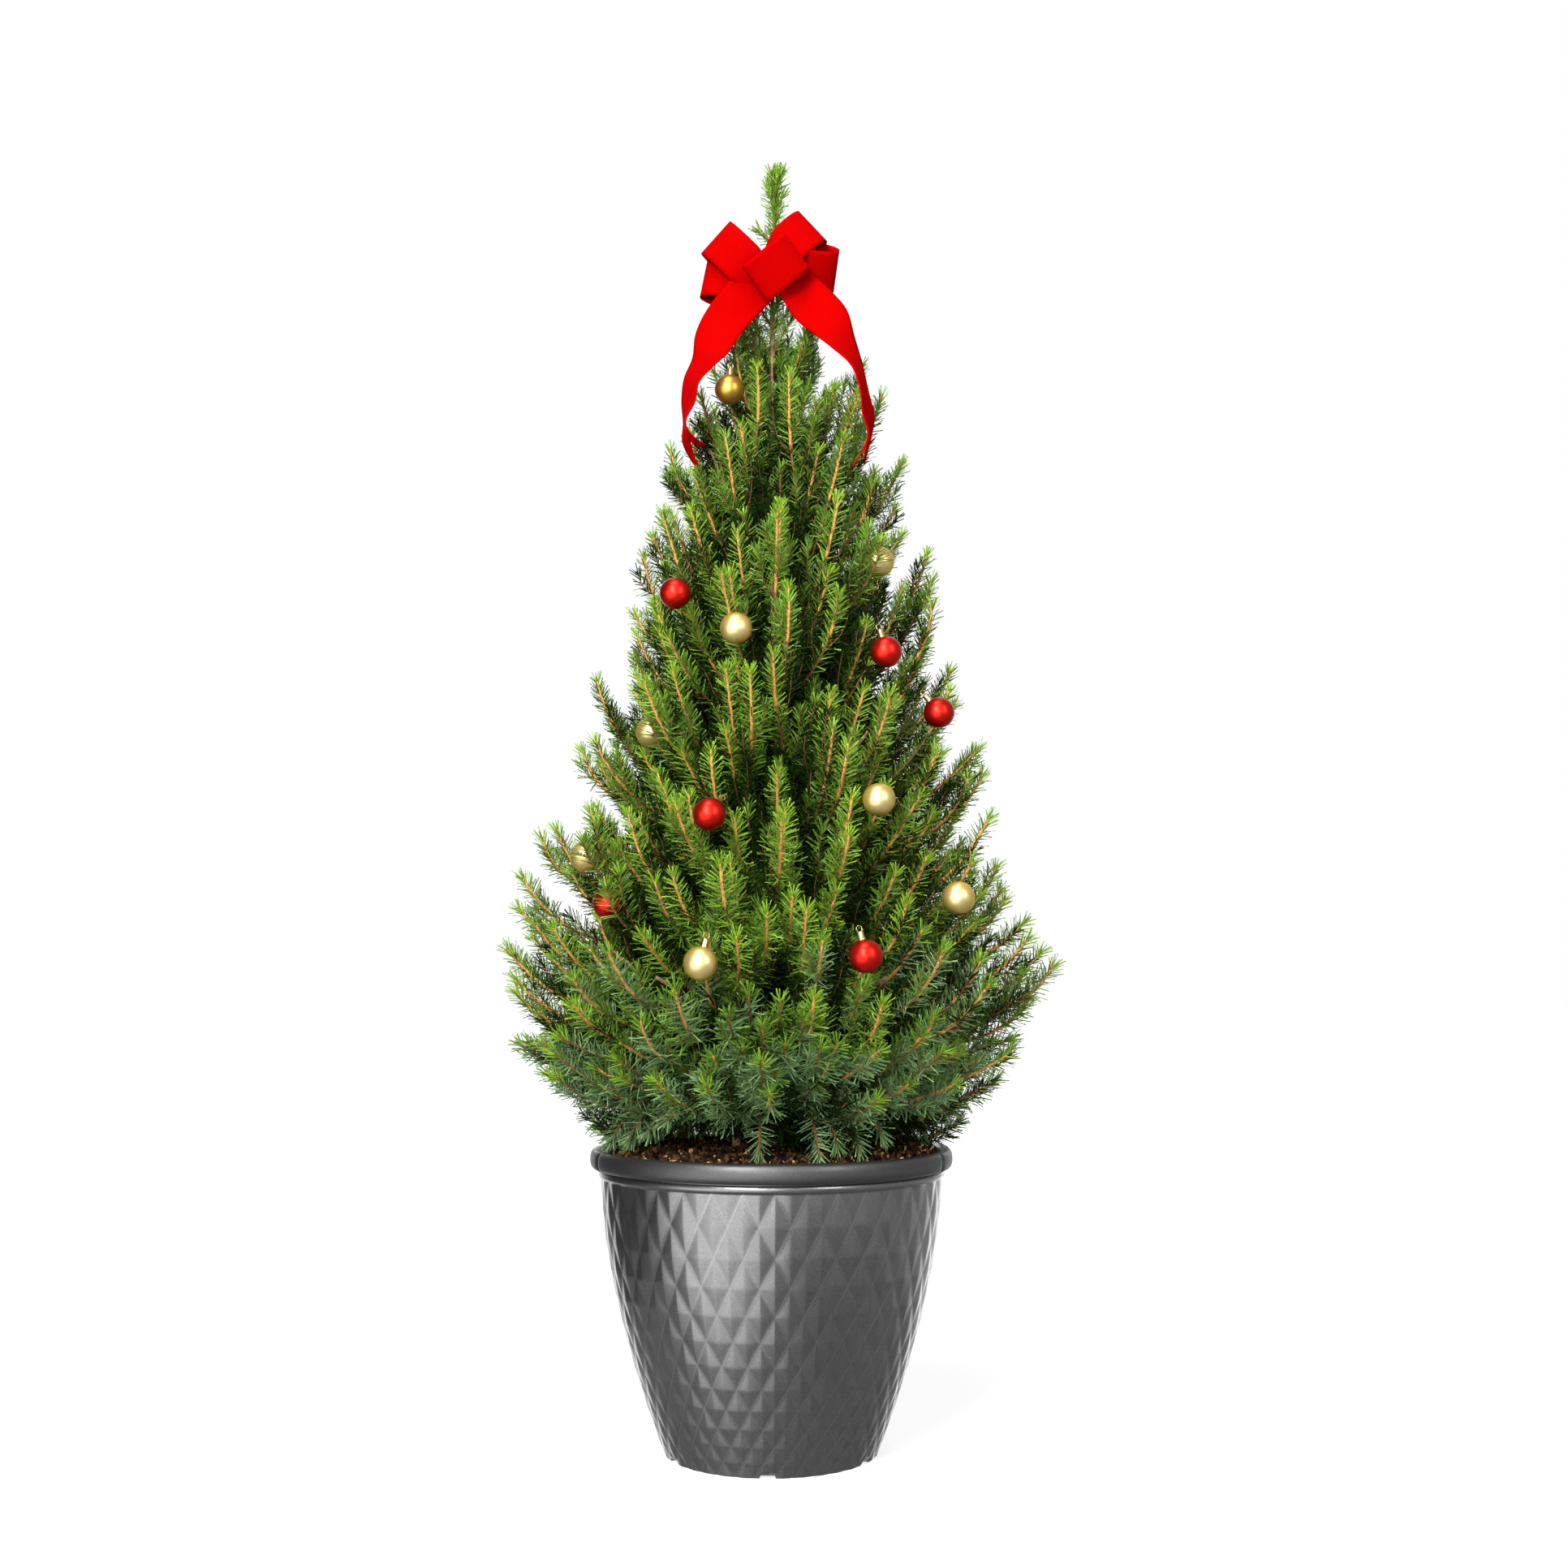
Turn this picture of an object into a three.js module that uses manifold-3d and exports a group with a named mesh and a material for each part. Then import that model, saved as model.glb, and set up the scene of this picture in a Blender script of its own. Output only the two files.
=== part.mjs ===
// A potted dwarf spruce: a dense cone of short-needled shoots round one straight trunk,
// in a round tapering pot with a lattice of raised diamonds.
// Millimetres, +Z up. The origin is the centre of the pot's flat underside.

import * as THREE from "three";
import { mergeVertices } from "three/addons/utils/BufferGeometryUtils.js";
import Module from "manifold-3d";

const wasm = await Module();
wasm.setup();

// Driving dimensions

const FIT_GAP = 0.3; // clearance between solids that rest on or grow from each other

const POT_HEIGHT = 247;
const POT_BASE_RADIUS = 88.5;
const POT_BODY_RADIUS = 143; // at the top of the diamond lattice
const POT_BODY_HEIGHT = 224;
const POT_SWELL = 1.65; // how early the wall widens on its way up
const POT_WALL = 3;
const POT_FLOOR = 4;
const POT_COLUMNS = 72; // two columns of points to each diamond
const POT_TURN = 1.2; // degrees that the lattice is turned from the front
const DIAMOND_ROWS = 12;
const DIAMOND_CROWDING = 0.4; // how much the rows close up towards the foot
const DIAMOND_RELIEF = 2.2; // height of a diamond's point over its edges
const DIAMOND_SHRINK = 0.45; // share of the relief that is lost at the foot
const COLLAR_RADIUS = 145.5;
const COLLAR_BOTTOM = 225.5;
const COLLAR_TOP = 229;
const RIM_RADIUS = 152.5;
const RIM_BOTTOM = 231;
const RIM_INNER_RADIUS = 142;
const RIM_EASE = 2.5; // how far the rim's edges are eased
const NOTCH_COUNT = 6; // drainage notches in the foot's edge
const NOTCH_WIDTH = 12;
const NOTCH_HEIGHT = 3;
const NOTCH_DEPTH = 9;
const NOTCH_TURN = -92; // degrees round the pot, first notch

const SOIL_TOP = 247; // the level patch that the stems stand on
const SOIL_EDGE = 241;
const SOIL_PATCH_RADIUS = 62;
const SOIL_COLUMNS = 36; // the pot's hollow has as many, so the two fit side by side
const SOIL_BUMP = 2;

const TREE_TIP = 1122;
const TRUNK_TOP = 985;
const TRUNK_FOOT_RADIUS = 8.5;
const TRUNK_TOP_RADIUS = 2;
const FLARE_RADIUS = 4; // extra radius at the root flare
const FLARE_HEIGHT = 14;
const TRUNK_LEAN = 6; // how far the foot stands to the right of the top
const TRUNK_SWAY = 3;
const TRUNK_SIDES = 8;
const TRUNK_RINGS = 13;
const TRUNK_RING_CROWDING = 1.5; // crowds the rings towards the flare

const CROWN_FOOT = 258; // lowest shoot tips
const CROWN_FOOT_RADIUS = 150;
const CROWN_WAIST = 400; // widest level
const CROWN_WAIST_RADIUS = 228;
const CROWN_SHOULDER = 850;
const CROWN_SHOULDER_RADIUS = 100;
const CROWN_TOP_RADIUS = 26; // at the top of the trunk

const GROWTH_FOOT = 266; // trunk height of the lowest growth line
const GROWTH_TOP = 880;
const GROWTH_LOW_ANGLE = -3; // degrees over the level, lowest shoots
const GROWTH_HIGH_ANGLE = 75;
const GROWTH_CURVE = 0.6; // how fast the shoots steepen with height

const CELL_MARGIN = 0.97; // share of its own space that a mass may fill
const BOUGH_END = 0.24; // where a bough enters its mass, as a share of the crown's radius
const BOUGH_TAPER = 0.6; // a limb's radius at its tip, as a share of its foot's
const LIMB_SIDES = 5;
const STEM_RADIUS = 2.6; // stems that stand straight on the trunk
const STEM_END = 0.4; // where a mass's stem is lost in its core
const CORE_START = 0.27;
const CORE_END = 0.84;
const CORE_STATIONS = [
  { out: CORE_START, fill: 0.4 },
  { out: 0.42, fill: 0.8 },
  { out: 0.58, fill: 0.84 },
  { out: 0.72, fill: 0.76 },
  { out: 0.81, fill: 0.45 },
];
const CORE_SIDES = 6;
const CORE_JITTER = 0.12;
const SHOOT_SHARE = 0.28; // length of the core's own shoots, as a share of the core's
const SHOOT_LEAN = 32; // degrees off the growth line
const SPRAY_SIDES = 3;
const SPRAY_SPREAD = 0.84; // how near to its space's sides a spray may end
const SPREAD_STEPS = [0.7549, 0.5698]; // two steps that never fall into line
const SPRAY_ROOT_OUT = 0.66; // where a spray is rooted in the core, as a share of the crown's radius
const SPRAY_FAN = 0.72; // how far a spray's root stands off the middle beside its tip
const SPRAY_RISE = 0.1; // how much a spray rises over its growth line
const SPRAY_REACH = [0.96, 1.04]; // where a spray ends, as a share of the crown's radius
const SPRAY_ROOT_RADIUS = 3;
const SPRAY_TIP_RADIUS = 1.3;
const NEEDLE_LEAN = 48; // degrees off the twig

// Rounds of needles on a spray, the needles' length, and the bare share of its twig.
const SIDE_SPRAY = { levels: 3, needle: 22, stalk: 0.3 };
const LEADER_SPRAY = { levels: 8, needle: 15, stalk: 0.25 };
const LEADER_PHASE = 0.4;

// Each tier of the crown: where its growth lines leave the trunk, how many masses share the
// round, how many sprays each carries, and the radius of the boughs that bear it (0 where
// its masses stand straight on the trunk).
const TIERS = [
  { name: "skirt", low: GROWTH_FOOT, high: 305, masses: 6, sprays: 3, bough: 4 },
  { name: "low", low: 305, high: 360, masses: 6, sprays: 4, bough: 4 },
  { name: "waist", low: 360, high: 435, masses: 6, sprays: 3, bough: 3.6 },
  { name: "middle", low: 435, high: 530, masses: 5, sprays: 3, bough: 0 },
  { name: "upper", low: 530, high: 650, masses: 4, sprays: 3, bough: 0 },
  { name: "shoulder", low: 650, high: 790, masses: 3, sprays: 3, bough: 0 },
  { name: "top", low: 790, high: GROWTH_TOP, masses: 2, sprays: 3, bough: 0 },
];

// The two skirt masses at the left hang on stems that rise from the soil by the trunk.
const SOIL_STEM_MASSES = [4, 5];
const SOIL_STEM_FOOT_RADIUS = 34;
const FIRST_BEND = 22; // how far a limb runs straight from its foot before it turns
const LAST_BEND = 0.5; // how far back its last turn lies, as a share of its length
const SOIL_STEM_LAST_BEND = 0.25;

// Small helpers

const radians = THREE.MathUtils.degToRad;
const lerp = THREE.MathUtils.lerp;
const UP = new THREE.Vector3(0, 0, 1);
const GOLDEN = (Math.sqrt(5) - 1) / 2; // spreads boughs up the trunk

// A repeatable stream of numbers from 0 to 1 for one seed.
function seededRandom(seed) {
  let state = seed >>> 0;
  return () => {
    state = (state + 0x6d2b79f5) >>> 0;
    let mixed = Math.imul(state ^ (state >>> 15), state | 1);
    mixed ^= mixed + Math.imul(mixed ^ (mixed >>> 7), mixed | 61);
    return ((mixed ^ (mixed >>> 14)) >>> 0) / 4294967296;
  };
}

function polar(radius, angle, z) {
  return new THREE.Vector3(radius * Math.cos(angle), radius * Math.sin(angle), z);
}

function solidOf(points, triangles) {
  const vertProperties = new Float32Array(points.flatMap((p) => [p.x, p.y, p.z]));
  const triVerts = new Uint32Array(triangles.flat());
  return new wasm.Manifold(new wasm.Mesh({ numProp: 3, vertProperties, triVerts }));
}

// A solid from a closed three.js geometry, with its shared corners merged.
function solidOfGeometry(geometry) {
  geometry.deleteAttribute("normal");
  geometry.deleteAttribute("uv");
  const merged = mergeVertices(geometry);
  const position = merged.getAttribute("position");
  const points = [];
  for (let k = 0; k < position.count; k += 1) {
    points.push(new THREE.Vector3().fromBufferAttribute(position, k));
  }
  const triangles = [];
  for (let k = 0; k < merged.index.count; k += 3) {
    const corners = [merged.index.getX(k), merged.index.getX(k + 1), merged.index.getX(k + 2)];
    if (new Set(corners).size === 3) {
      triangles.push(corners);
    }
  }
  return solidOf(points, triangles);
}

function geometryOf(solid) {
  const mesh = solid.getMesh();
  const geometry = new THREE.BufferGeometry();
  geometry.setAttribute("position", new THREE.BufferAttribute(mesh.vertProperties, 3));
  geometry.setIndex(new THREE.BufferAttribute(mesh.triVerts, 1));
  geometry.computeVertexNormals();
  return geometry;
}

// The largest closed body of a solid, without loose scraps.
function mainBody(solid) {
  const bodies = solid.decompose();
  return bodies.reduce((best, body) => (body.volume() > best.volume() ? body : best));
}

// A solid skinned over rings of equally many points, listed from the bottom up and running
// anticlockwise seen from above, with a point that closes each end. flip(row, column) turns
// the diagonal of one panel.
function skin(rings, first, last, flip = () => false) {
  const count = rings[0].length;
  const points = [first, ...rings.flat(), last];
  const triangles = [];
  const at = (row, column) => 1 + row * count + (column % count);
  for (let column = 0; column < count; column += 1) {
    triangles.push([0, at(0, column + 1), at(0, column)]);
    triangles.push([points.length - 1, at(rings.length - 1, column), at(rings.length - 1, column + 1)]);
    for (let row = 0; row + 1 < rings.length; row += 1) {
      const low = at(row, column);
      const lowNext = at(row, column + 1);
      const high = at(row + 1, column);
      const highNext = at(row + 1, column + 1);
      if (flip(row, column)) {
        triangles.push([low, lowNext, high], [lowNext, highNext, high]);
      } else {
        triangles.push([low, lowNext, highNext], [low, highNext, high]);
      }
    }
  }
  return solidOf(points, triangles);
}

// Two directions square to an axis, with no sudden turn for steep axes.
function sideways(axis) {
  const hint = Math.abs(axis.z) > 0.95 ? new THREE.Vector3(1, 0, 0) : UP;
  const across = new THREE.Vector3().crossVectors(hint, axis).normalize();
  return [across, new THREE.Vector3().crossVectors(axis, across)];
}

// A tapering limb along a curve.
function limb(curve, radiusAt, sides, ringCount) {
  const rings = [];
  for (let k = 0; k < ringCount; k += 1) {
    const t = k / (ringCount - 1);
    const [across, over] = sideways(curve.getTangent(t).normalize());
    const centre = curve.getPoint(t);
    const ring = [];
    for (let side = 0; side < sides; side += 1) {
      const turn = (2 * Math.PI * side) / sides;
      const spoke = across.clone().multiplyScalar(Math.cos(turn)).addScaledVector(over, Math.sin(turn));
      ring.push(spoke.multiplyScalar(radiusAt(t)).add(centre));
    }
    rings.push(ring);
  }
  return skin(rings, curve.getPoint(0), curve.getPoint(1));
}

// Pot

function potRadius(z) {
  const rise = Math.min(z / POT_BODY_HEIGHT, 1);
  return lerp(POT_BASE_RADIUS, POT_BODY_RADIUS, 1 - (1 - rise) ** POT_SWELL);
}

function potInnerRadius(z) {
  return potRadius(z) - POT_WALL;
}

function ringAt(radius, z, columns, turn = 0) {
  const step = (2 * Math.PI) / columns;
  return Array.from({ length: columns }, (_, column) => polar(radius, turn + step * column, z));
}

// Height of a lattice row, counted from the foot.
function latticeHeight(row) {
  const rise = row / DIAMOND_ROWS;
  return POT_BODY_HEIGHT * ((1 - DIAMOND_CROWDING) * rise + DIAMOND_CROWDING * rise ** 2);
}

// A lattice row: every second point is the raised centre of a diamond.
function latticeRing(row) {
  const z = latticeHeight(row);
  const relief = DIAMOND_RELIEF * (1 - DIAMOND_SHRINK * (1 - row / DIAMOND_ROWS));
  const level = row === 0 || row === DIAMOND_ROWS;
  return ringAt(1, z, POT_COLUMNS, radians(POT_TURN)).map((point, column) => {
    const raised = !level && (row + column) % 2 === 1;
    const radius = potRadius(z) + (raised ? relief / 2 : -relief / 2);
    return new THREE.Vector3(point.x * radius, point.y * radius, z);
  });
}

function potNotch(index) {
  const turn = radians(NOTCH_TURN + (360 / NOTCH_COUNT) * index);
  const block = new THREE.BoxGeometry(NOTCH_DEPTH, NOTCH_WIDTH, 2 * NOTCH_HEIGHT);
  block.rotateZ(turn);
  block.translate(POT_BASE_RADIUS * Math.cos(turn), POT_BASE_RADIUS * Math.sin(turn), 0);
  return solidOfGeometry(block);
}

// The hollow of the pot, from its floor to above its rim.
function potCavity() {
  const profile = [
    [0, POT_FLOOR],
    [potInnerRadius(POT_FLOOR), POT_FLOOR],
    [potInnerRadius(POT_BODY_HEIGHT / 5), POT_BODY_HEIGHT / 5],
    [potInnerRadius(POT_BODY_HEIGHT / 2), POT_BODY_HEIGHT / 2],
    [potInnerRadius(POT_BODY_HEIGHT), POT_BODY_HEIGHT],
    [RIM_INNER_RADIUS, POT_HEIGHT - RIM_EASE],
    [RIM_INNER_RADIUS + RIM_EASE, POT_HEIGHT + FIT_GAP],
    [0, POT_HEIGHT + FIT_GAP],
  ];
  const lathe = new THREE.LatheGeometry(profile.map(([r, z]) => new THREE.Vector2(r, z)), SOIL_COLUMNS);
  return solidOfGeometry(lathe.rotateX(Math.PI / 2));
}

function makePot() {
  const rings = Array.from({ length: DIAMOND_ROWS + 1 }, (_, row) => latticeRing(row));
  const outline = [
    [COLLAR_RADIUS, COLLAR_BOTTOM],
    [COLLAR_RADIUS, COLLAR_TOP],
    [RIM_RADIUS - 2 * RIM_EASE, RIM_BOTTOM],
    [RIM_RADIUS, RIM_BOTTOM + 2 * RIM_EASE],
    [RIM_RADIUS - RIM_EASE / 2, POT_HEIGHT - 1.6 * RIM_EASE],
    [RIM_RADIUS - 2 * RIM_EASE, POT_HEIGHT],
  ];
  outline.forEach(([radius, z]) => rings.push(ringAt(radius, z, POT_COLUMNS, radians(POT_TURN))));
  const flip = (row, column) => row < DIAMOND_ROWS && (row + column) % 2 === 1;
  let pot = skin(rings, new THREE.Vector3(), new THREE.Vector3(0, 0, POT_HEIGHT), flip);
  for (let index = 0; index < NOTCH_COUNT; index += 1) {
    pot = pot.subtract(potNotch(index));
  }
  return mainBody(pot.subtract(potCavity()));
}

// Soil

function makeSoil() {
  const random = seededRandom(11);
  const fill = (z) => potInnerRadius(z) - FIT_GAP;
  const half = POT_BODY_HEIGHT / 2;
  const rings = [
    ringAt(fill(POT_FLOOR), POT_FLOOR + FIT_GAP, SOIL_COLUMNS),
    ringAt(fill(half), half, SOIL_COLUMNS),
    ringAt(fill(SOIL_EDGE), SOIL_EDGE, SOIL_COLUMNS),
  ];
  [0.35, 0.75].forEach((share) => {
    const radius = lerp(fill(SOIL_EDGE), SOIL_PATCH_RADIUS, share);
    const ring = ringAt(radius, lerp(SOIL_EDGE, SOIL_TOP, share), SOIL_COLUMNS);
    ring.forEach((point) => point.setZ(point.z + SOIL_BUMP * (random() - 0.5)));
    rings.push(ring);
  });
  rings.push(ringAt(SOIL_PATCH_RADIUS, SOIL_TOP, SOIL_COLUMNS));
  return skin(rings, new THREE.Vector3(0, 0, POT_FLOOR + FIT_GAP), new THREE.Vector3(0, 0, SOIL_TOP));
}

// Trunk

const TRUNK_FOOT = SOIL_TOP + FIT_GAP;

function trunkCentre(z) {
  const rise = (z - TRUNK_FOOT) / (TRUNK_TOP - TRUNK_FOOT);
  const sway = TRUNK_SWAY * Math.sin(2 * Math.PI * rise) * (1 - rise);
  return new THREE.Vector3(TRUNK_LEAN * (1 - rise) + sway, sway, z);
}

function trunkRadius(z) {
  const rise = (z - TRUNK_FOOT) / (TRUNK_TOP - TRUNK_FOOT);
  const flare = FLARE_RADIUS * Math.exp(-(z - TRUNK_FOOT) / FLARE_HEIGHT);
  return lerp(TRUNK_FOOT_RADIUS, TRUNK_TOP_RADIUS, rise) + flare;
}

// The trunk, or with an allowance the space that its neighbours keep clear.
function makeTrunk(allowance = 0) {
  const rings = [];
  for (let k = 0; k < TRUNK_RINGS; k += 1) {
    const share = k / (TRUNK_RINGS - 1);
    const z = lerp(TRUNK_FOOT, TRUNK_TOP, share ** TRUNK_RING_CROWDING);
    const centre = trunkCentre(z);
    rings.push(ringAt(trunkRadius(z) + allowance, 0, TRUNK_SIDES).map((point) => point.add(centre)));
  }
  return skin(rings, trunkCentre(TRUNK_FOOT), trunkCentre(TRUNK_TOP));
}

// Crown: its outline, and the growth lines that rise from the trunk and lean out to it

function crownRadius(z) {
  if (z < CROWN_WAIST) {
    const share = Math.max((z - CROWN_FOOT) / (CROWN_WAIST - CROWN_FOOT), 0);
    return lerp(CROWN_FOOT_RADIUS, CROWN_WAIST_RADIUS, Math.sin((Math.PI / 2) * share));
  }
  if (z < CROWN_SHOULDER) {
    const share = (z - CROWN_WAIST) / (CROWN_SHOULDER - CROWN_WAIST);
    return lerp(CROWN_WAIST_RADIUS, CROWN_SHOULDER_RADIUS, share);
  }
  const share = Math.min((z - CROWN_SHOULDER) / (TRUNK_TOP - CROWN_SHOULDER), 1);
  return lerp(CROWN_SHOULDER_RADIUS, CROWN_TOP_RADIUS, share);
}

// Slope of the growth line that leaves the trunk's axis at a height.
function growthSlope(height) {
  const share = THREE.MathUtils.clamp((height - GROWTH_FOOT) / (GROWTH_TOP - GROWTH_FOOT), 0, 1);
  return Math.tan(radians(lerp(GROWTH_LOW_ANGLE, GROWTH_HIGH_ANGLE, share ** GROWTH_CURVE)));
}

// The value between two limits where a rising test first holds.
function bisect(low, high, test) {
  for (let step = 0; step < 40; step += 1) {
    const middle = (low + high) / 2;
    if (test(middle)) {
      high = middle;
    } else {
      low = middle;
    }
  }
  return high;
}

// How far out a growth line meets the crown's outline.
function reach(height) {
  return bisect(0, CROWN_WAIST_RADIUS, (r) => r >= crownRadius(height + r * growthSlope(height)));
}

// The trunk height whose growth line passes through a point.
function growthHeight(radius, z) {
  return bisect(GROWTH_FOOT - 60, GROWTH_TOP + 60, (height) => height + radius * growthSlope(height) >= z);
}

// The space of one mass: a sector of one tier. Across and along run from -1 to 1 between its
// sides and between its lower and upper growth lines, and out from 0 at the axis to 1 at the
// crown's outline.
function makeCell(tier, index) {
  const width = (2 * Math.PI) / tier.masses;
  const middle = -Math.PI / 2 + width * (index + 0.5 * (TIERS.indexOf(tier) % 2));
  return {
    point(across, along, out) {
      const height = lerp(tier.low, tier.high, (along + 1) / 2);
      const radius = out * reach(height);
      return polar(radius, middle + (across * width) / 2, height + radius * growthSlope(height));
    },
    holds(point) {
      const radius = Math.hypot(point.x, point.y);
      const turn = Math.atan2(point.y, point.x) - middle;
      const across = Math.atan2(Math.sin(turn), Math.cos(turn)) / (width / 2);
      const height = growthHeight(radius, point.z);
      const along = (2 * (height - tier.low)) / (tier.high - tier.low) - 1;
      return Math.abs(across) < CELL_MARGIN && Math.abs(along) < CELL_MARGIN;
    },
  };
}

// Sprays and masses

// The four corners of a panel between one ring of points and the next.
function panelCorners(side, ring, sides) {
  const next = (side + 1) % sides;
  return [side, next, sides + next, sides + side].map((corner) => sides * ring + corner);
}

// Adds a panel of four corners, drawn out to a point where one is given.
function addPanel(points, triangles, corners, apex) {
  if (apex) {
    const top = points.push(apex) - 1;
    corners.forEach((corner, k) => triangles.push([corner, corners[(k + 1) % 4], top]));
  } else {
    triangles.push([corners[0], corners[1], corners[2]], [corners[0], corners[2], corners[3]]);
  }
}

// A three-sided twig with a bare stalk, its side panels drawn out into needles that lean
// forward. A needle that would leave the mass's space is left out.
function spray(base, tip, shape, phase, holds) {
  const axis = new THREE.Vector3().subVectors(tip, base);
  const length = axis.length();
  axis.normalize();
  const [across, over] = sideways(axis);
  const lean = radians(NEEDLE_LEAN);
  const shares = [0];
  for (let level = 0; level <= shape.levels; level += 1) {
    shares.push(lerp(shape.stalk, 1, level / (shape.levels + 0.6)));
  }
  const points = shares.flatMap((share, ring) =>
    Array.from({ length: SPRAY_SIDES }, (_, side) => {
      const turn = phase + (2 * Math.PI * (side + 0.4 * ring)) / SPRAY_SIDES;
      const spoke = across.clone().multiplyScalar(Math.cos(turn)).addScaledVector(over, Math.sin(turn));
      spoke.multiplyScalar(lerp(SPRAY_ROOT_RADIUS, SPRAY_TIP_RADIUS, share));
      return spoke.addScaledVector(axis, share * length).add(base);
    }),
  );
  const end = points.push(tip.clone()) - 1;
  const triangles = [[2, 1, 0]];
  for (let side = 0; side < SPRAY_SIDES; side += 1) {
    const next = (side + 1) % SPRAY_SIDES;
    const last = SPRAY_SIDES * (shares.length - 1);
    triangles.push([end, last + side, last + next]);
    for (let ring = 0; ring + 1 < shares.length; ring += 1) {
      const corners = panelCorners(side, ring, SPRAY_SIDES);
      const middle = new THREE.Vector3();
      corners.forEach((corner) => middle.addScaledVector(points[corner], 0.25));
      const centre = base.clone().addScaledVector(axis, middle.clone().sub(base).dot(axis));
      const outward = middle.clone().sub(centre).normalize();
      const needle = shape.needle * lerp(1, 0.75, ring / shape.levels);
      const apex = middle.addScaledVector(outward, needle * Math.sin(lean));
      apex.addScaledVector(axis, needle * Math.cos(lean));
      addPanel(points, triangles, corners, ring > 0 && holds(apex) ? apex : null);
    }
  }
  return solidOf(points, triangles);
}

// The dense heart of a mass, which swells and closes again on its way out. Its panels are
// drawn out into shoots that lean forward, where they stay in the mass's space.
function massCore(cell, random) {
  const points = [];
  const triangles = [];
  const hubs = CORE_STATIONS.map(({ out }) => cell.point(0, 0, out));
  CORE_STATIONS.forEach(({ out, fill }, station) => {
    for (let side = 0; side < CORE_SIDES; side += 1) {
      const turn = (2 * Math.PI * (side + 0.5 * station)) / CORE_SIDES;
      const swell = fill * (1 + CORE_JITTER * (2 * random() - 1));
      points.push(cell.point(swell * Math.cos(turn), swell * Math.sin(turn), out));
    }
  });
  const start = points.push(hubs[0]) - 1;
  const end = points.push(cell.point(0, 0, CORE_END)) - 1;
  const last = CORE_SIDES * (CORE_STATIONS.length - 1);
  for (let side = 0; side < CORE_SIDES; side += 1) {
    const next = (side + 1) % CORE_SIDES;
    triangles.push([start, next, side], [end, last + side, last + next]);
    for (let station = 0; station + 1 < hubs.length; station += 1) {
      const corners = panelCorners(side, station, CORE_SIDES);
      const apex = new THREE.Vector3();
      corners.forEach((corner) => apex.addScaledVector(points[corner], 0.25));
      const hub = hubs[station].clone().lerp(hubs[station + 1], 0.5);
      const forward = hubs[station + 1].clone().sub(hubs[station]).normalize();
      const length = SHOOT_SHARE * hubs[0].distanceTo(points[end]) * (0.8 + 0.4 * random());
      apex.addScaledVector(apex.clone().sub(hub).normalize(), length * Math.sin(radians(SHOOT_LEAN)));
      apex.addScaledVector(forward, length * Math.cos(radians(SHOOT_LEAN)));
      addPanel(points, triangles, corners, cell.holds(apex) ? apex : null);
    }
  }
  return solidOf(points, triangles);
}

// Where the sprays end on the mass's outer face, across and along it: the first near the
// middle, and the rest spread by a low-discrepancy sequence.
function sprayTips(count, random) {
  const start = [0.4 + 0.2 * random(), 0.5 + 0.2 * random()];
  return Array.from({ length: count }, (_, k) =>
    start.map((first, axis) => SPRAY_SPREAD * (2 * ((first + SPREAD_STEPS[axis] * k) % 1) - 1)),
  );
}

// Where on the trunk's centre line a tier's bough or stem springs from.
function springPoint(tier, share) {
  return trunkCentre(lerp(tier.low, tier.high, share));
}

// A mass's stem meets its bough's tip, or stands on the trunk.
function massStem(tier, cell, trunkSpace) {
  const outer = cell.point(0, 0, STEM_END);
  const inner = tier.bough ? cell.point(0, 0, BOUGH_END) : springPoint(tier, 0.5);
  if (tier.bough) {
    inner.addScaledVector(outer.clone().sub(inner).normalize(), FIT_GAP);
  }
  const radius = tier.bough ? BOUGH_TAPER * tier.bough : STEM_RADIUS;
  const line = new THREE.LineCurve3(inner, outer);
  const stem = limb(line, (t) => radius * lerp(1, BOUGH_TAPER, t), LIMB_SIDES, 2);
  return tier.bough ? stem : mainBody(stem.subtract(trunkSpace));
}

function makeMass(tier, index, trunkSpace) {
  const random = seededRandom(1000 + 100 * TIERS.indexOf(tier) + index);
  const cell = makeCell(tier, index);
  const pieces = [massCore(cell, random), massStem(tier, cell, trunkSpace)];
  sprayTips(tier.sprays, random).forEach(([across, along]) => {
    const base = cell.point(SPRAY_FAN * across, SPRAY_FAN * along - SPRAY_RISE, SPRAY_ROOT_OUT);
    const tip = cell.point(across, along, lerp(...SPRAY_REACH, random()));
    pieces.push(spray(base, tip, SIDE_SPRAY, 2 * Math.PI * random(), cell.holds));
  });
  return mainBody(wasm.Manifold.union(pieces));
}

// The young shoot that carries on from the top of the trunk.
function makeLeader() {
  const foot = trunkCentre(TRUNK_TOP + FIT_GAP);
  const tip = new THREE.Vector3(0, 0, TREE_TIP);
  return spray(foot, tip, LEADER_SPRAY, LEADER_PHASE, () => true);
}

// Boughs

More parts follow.
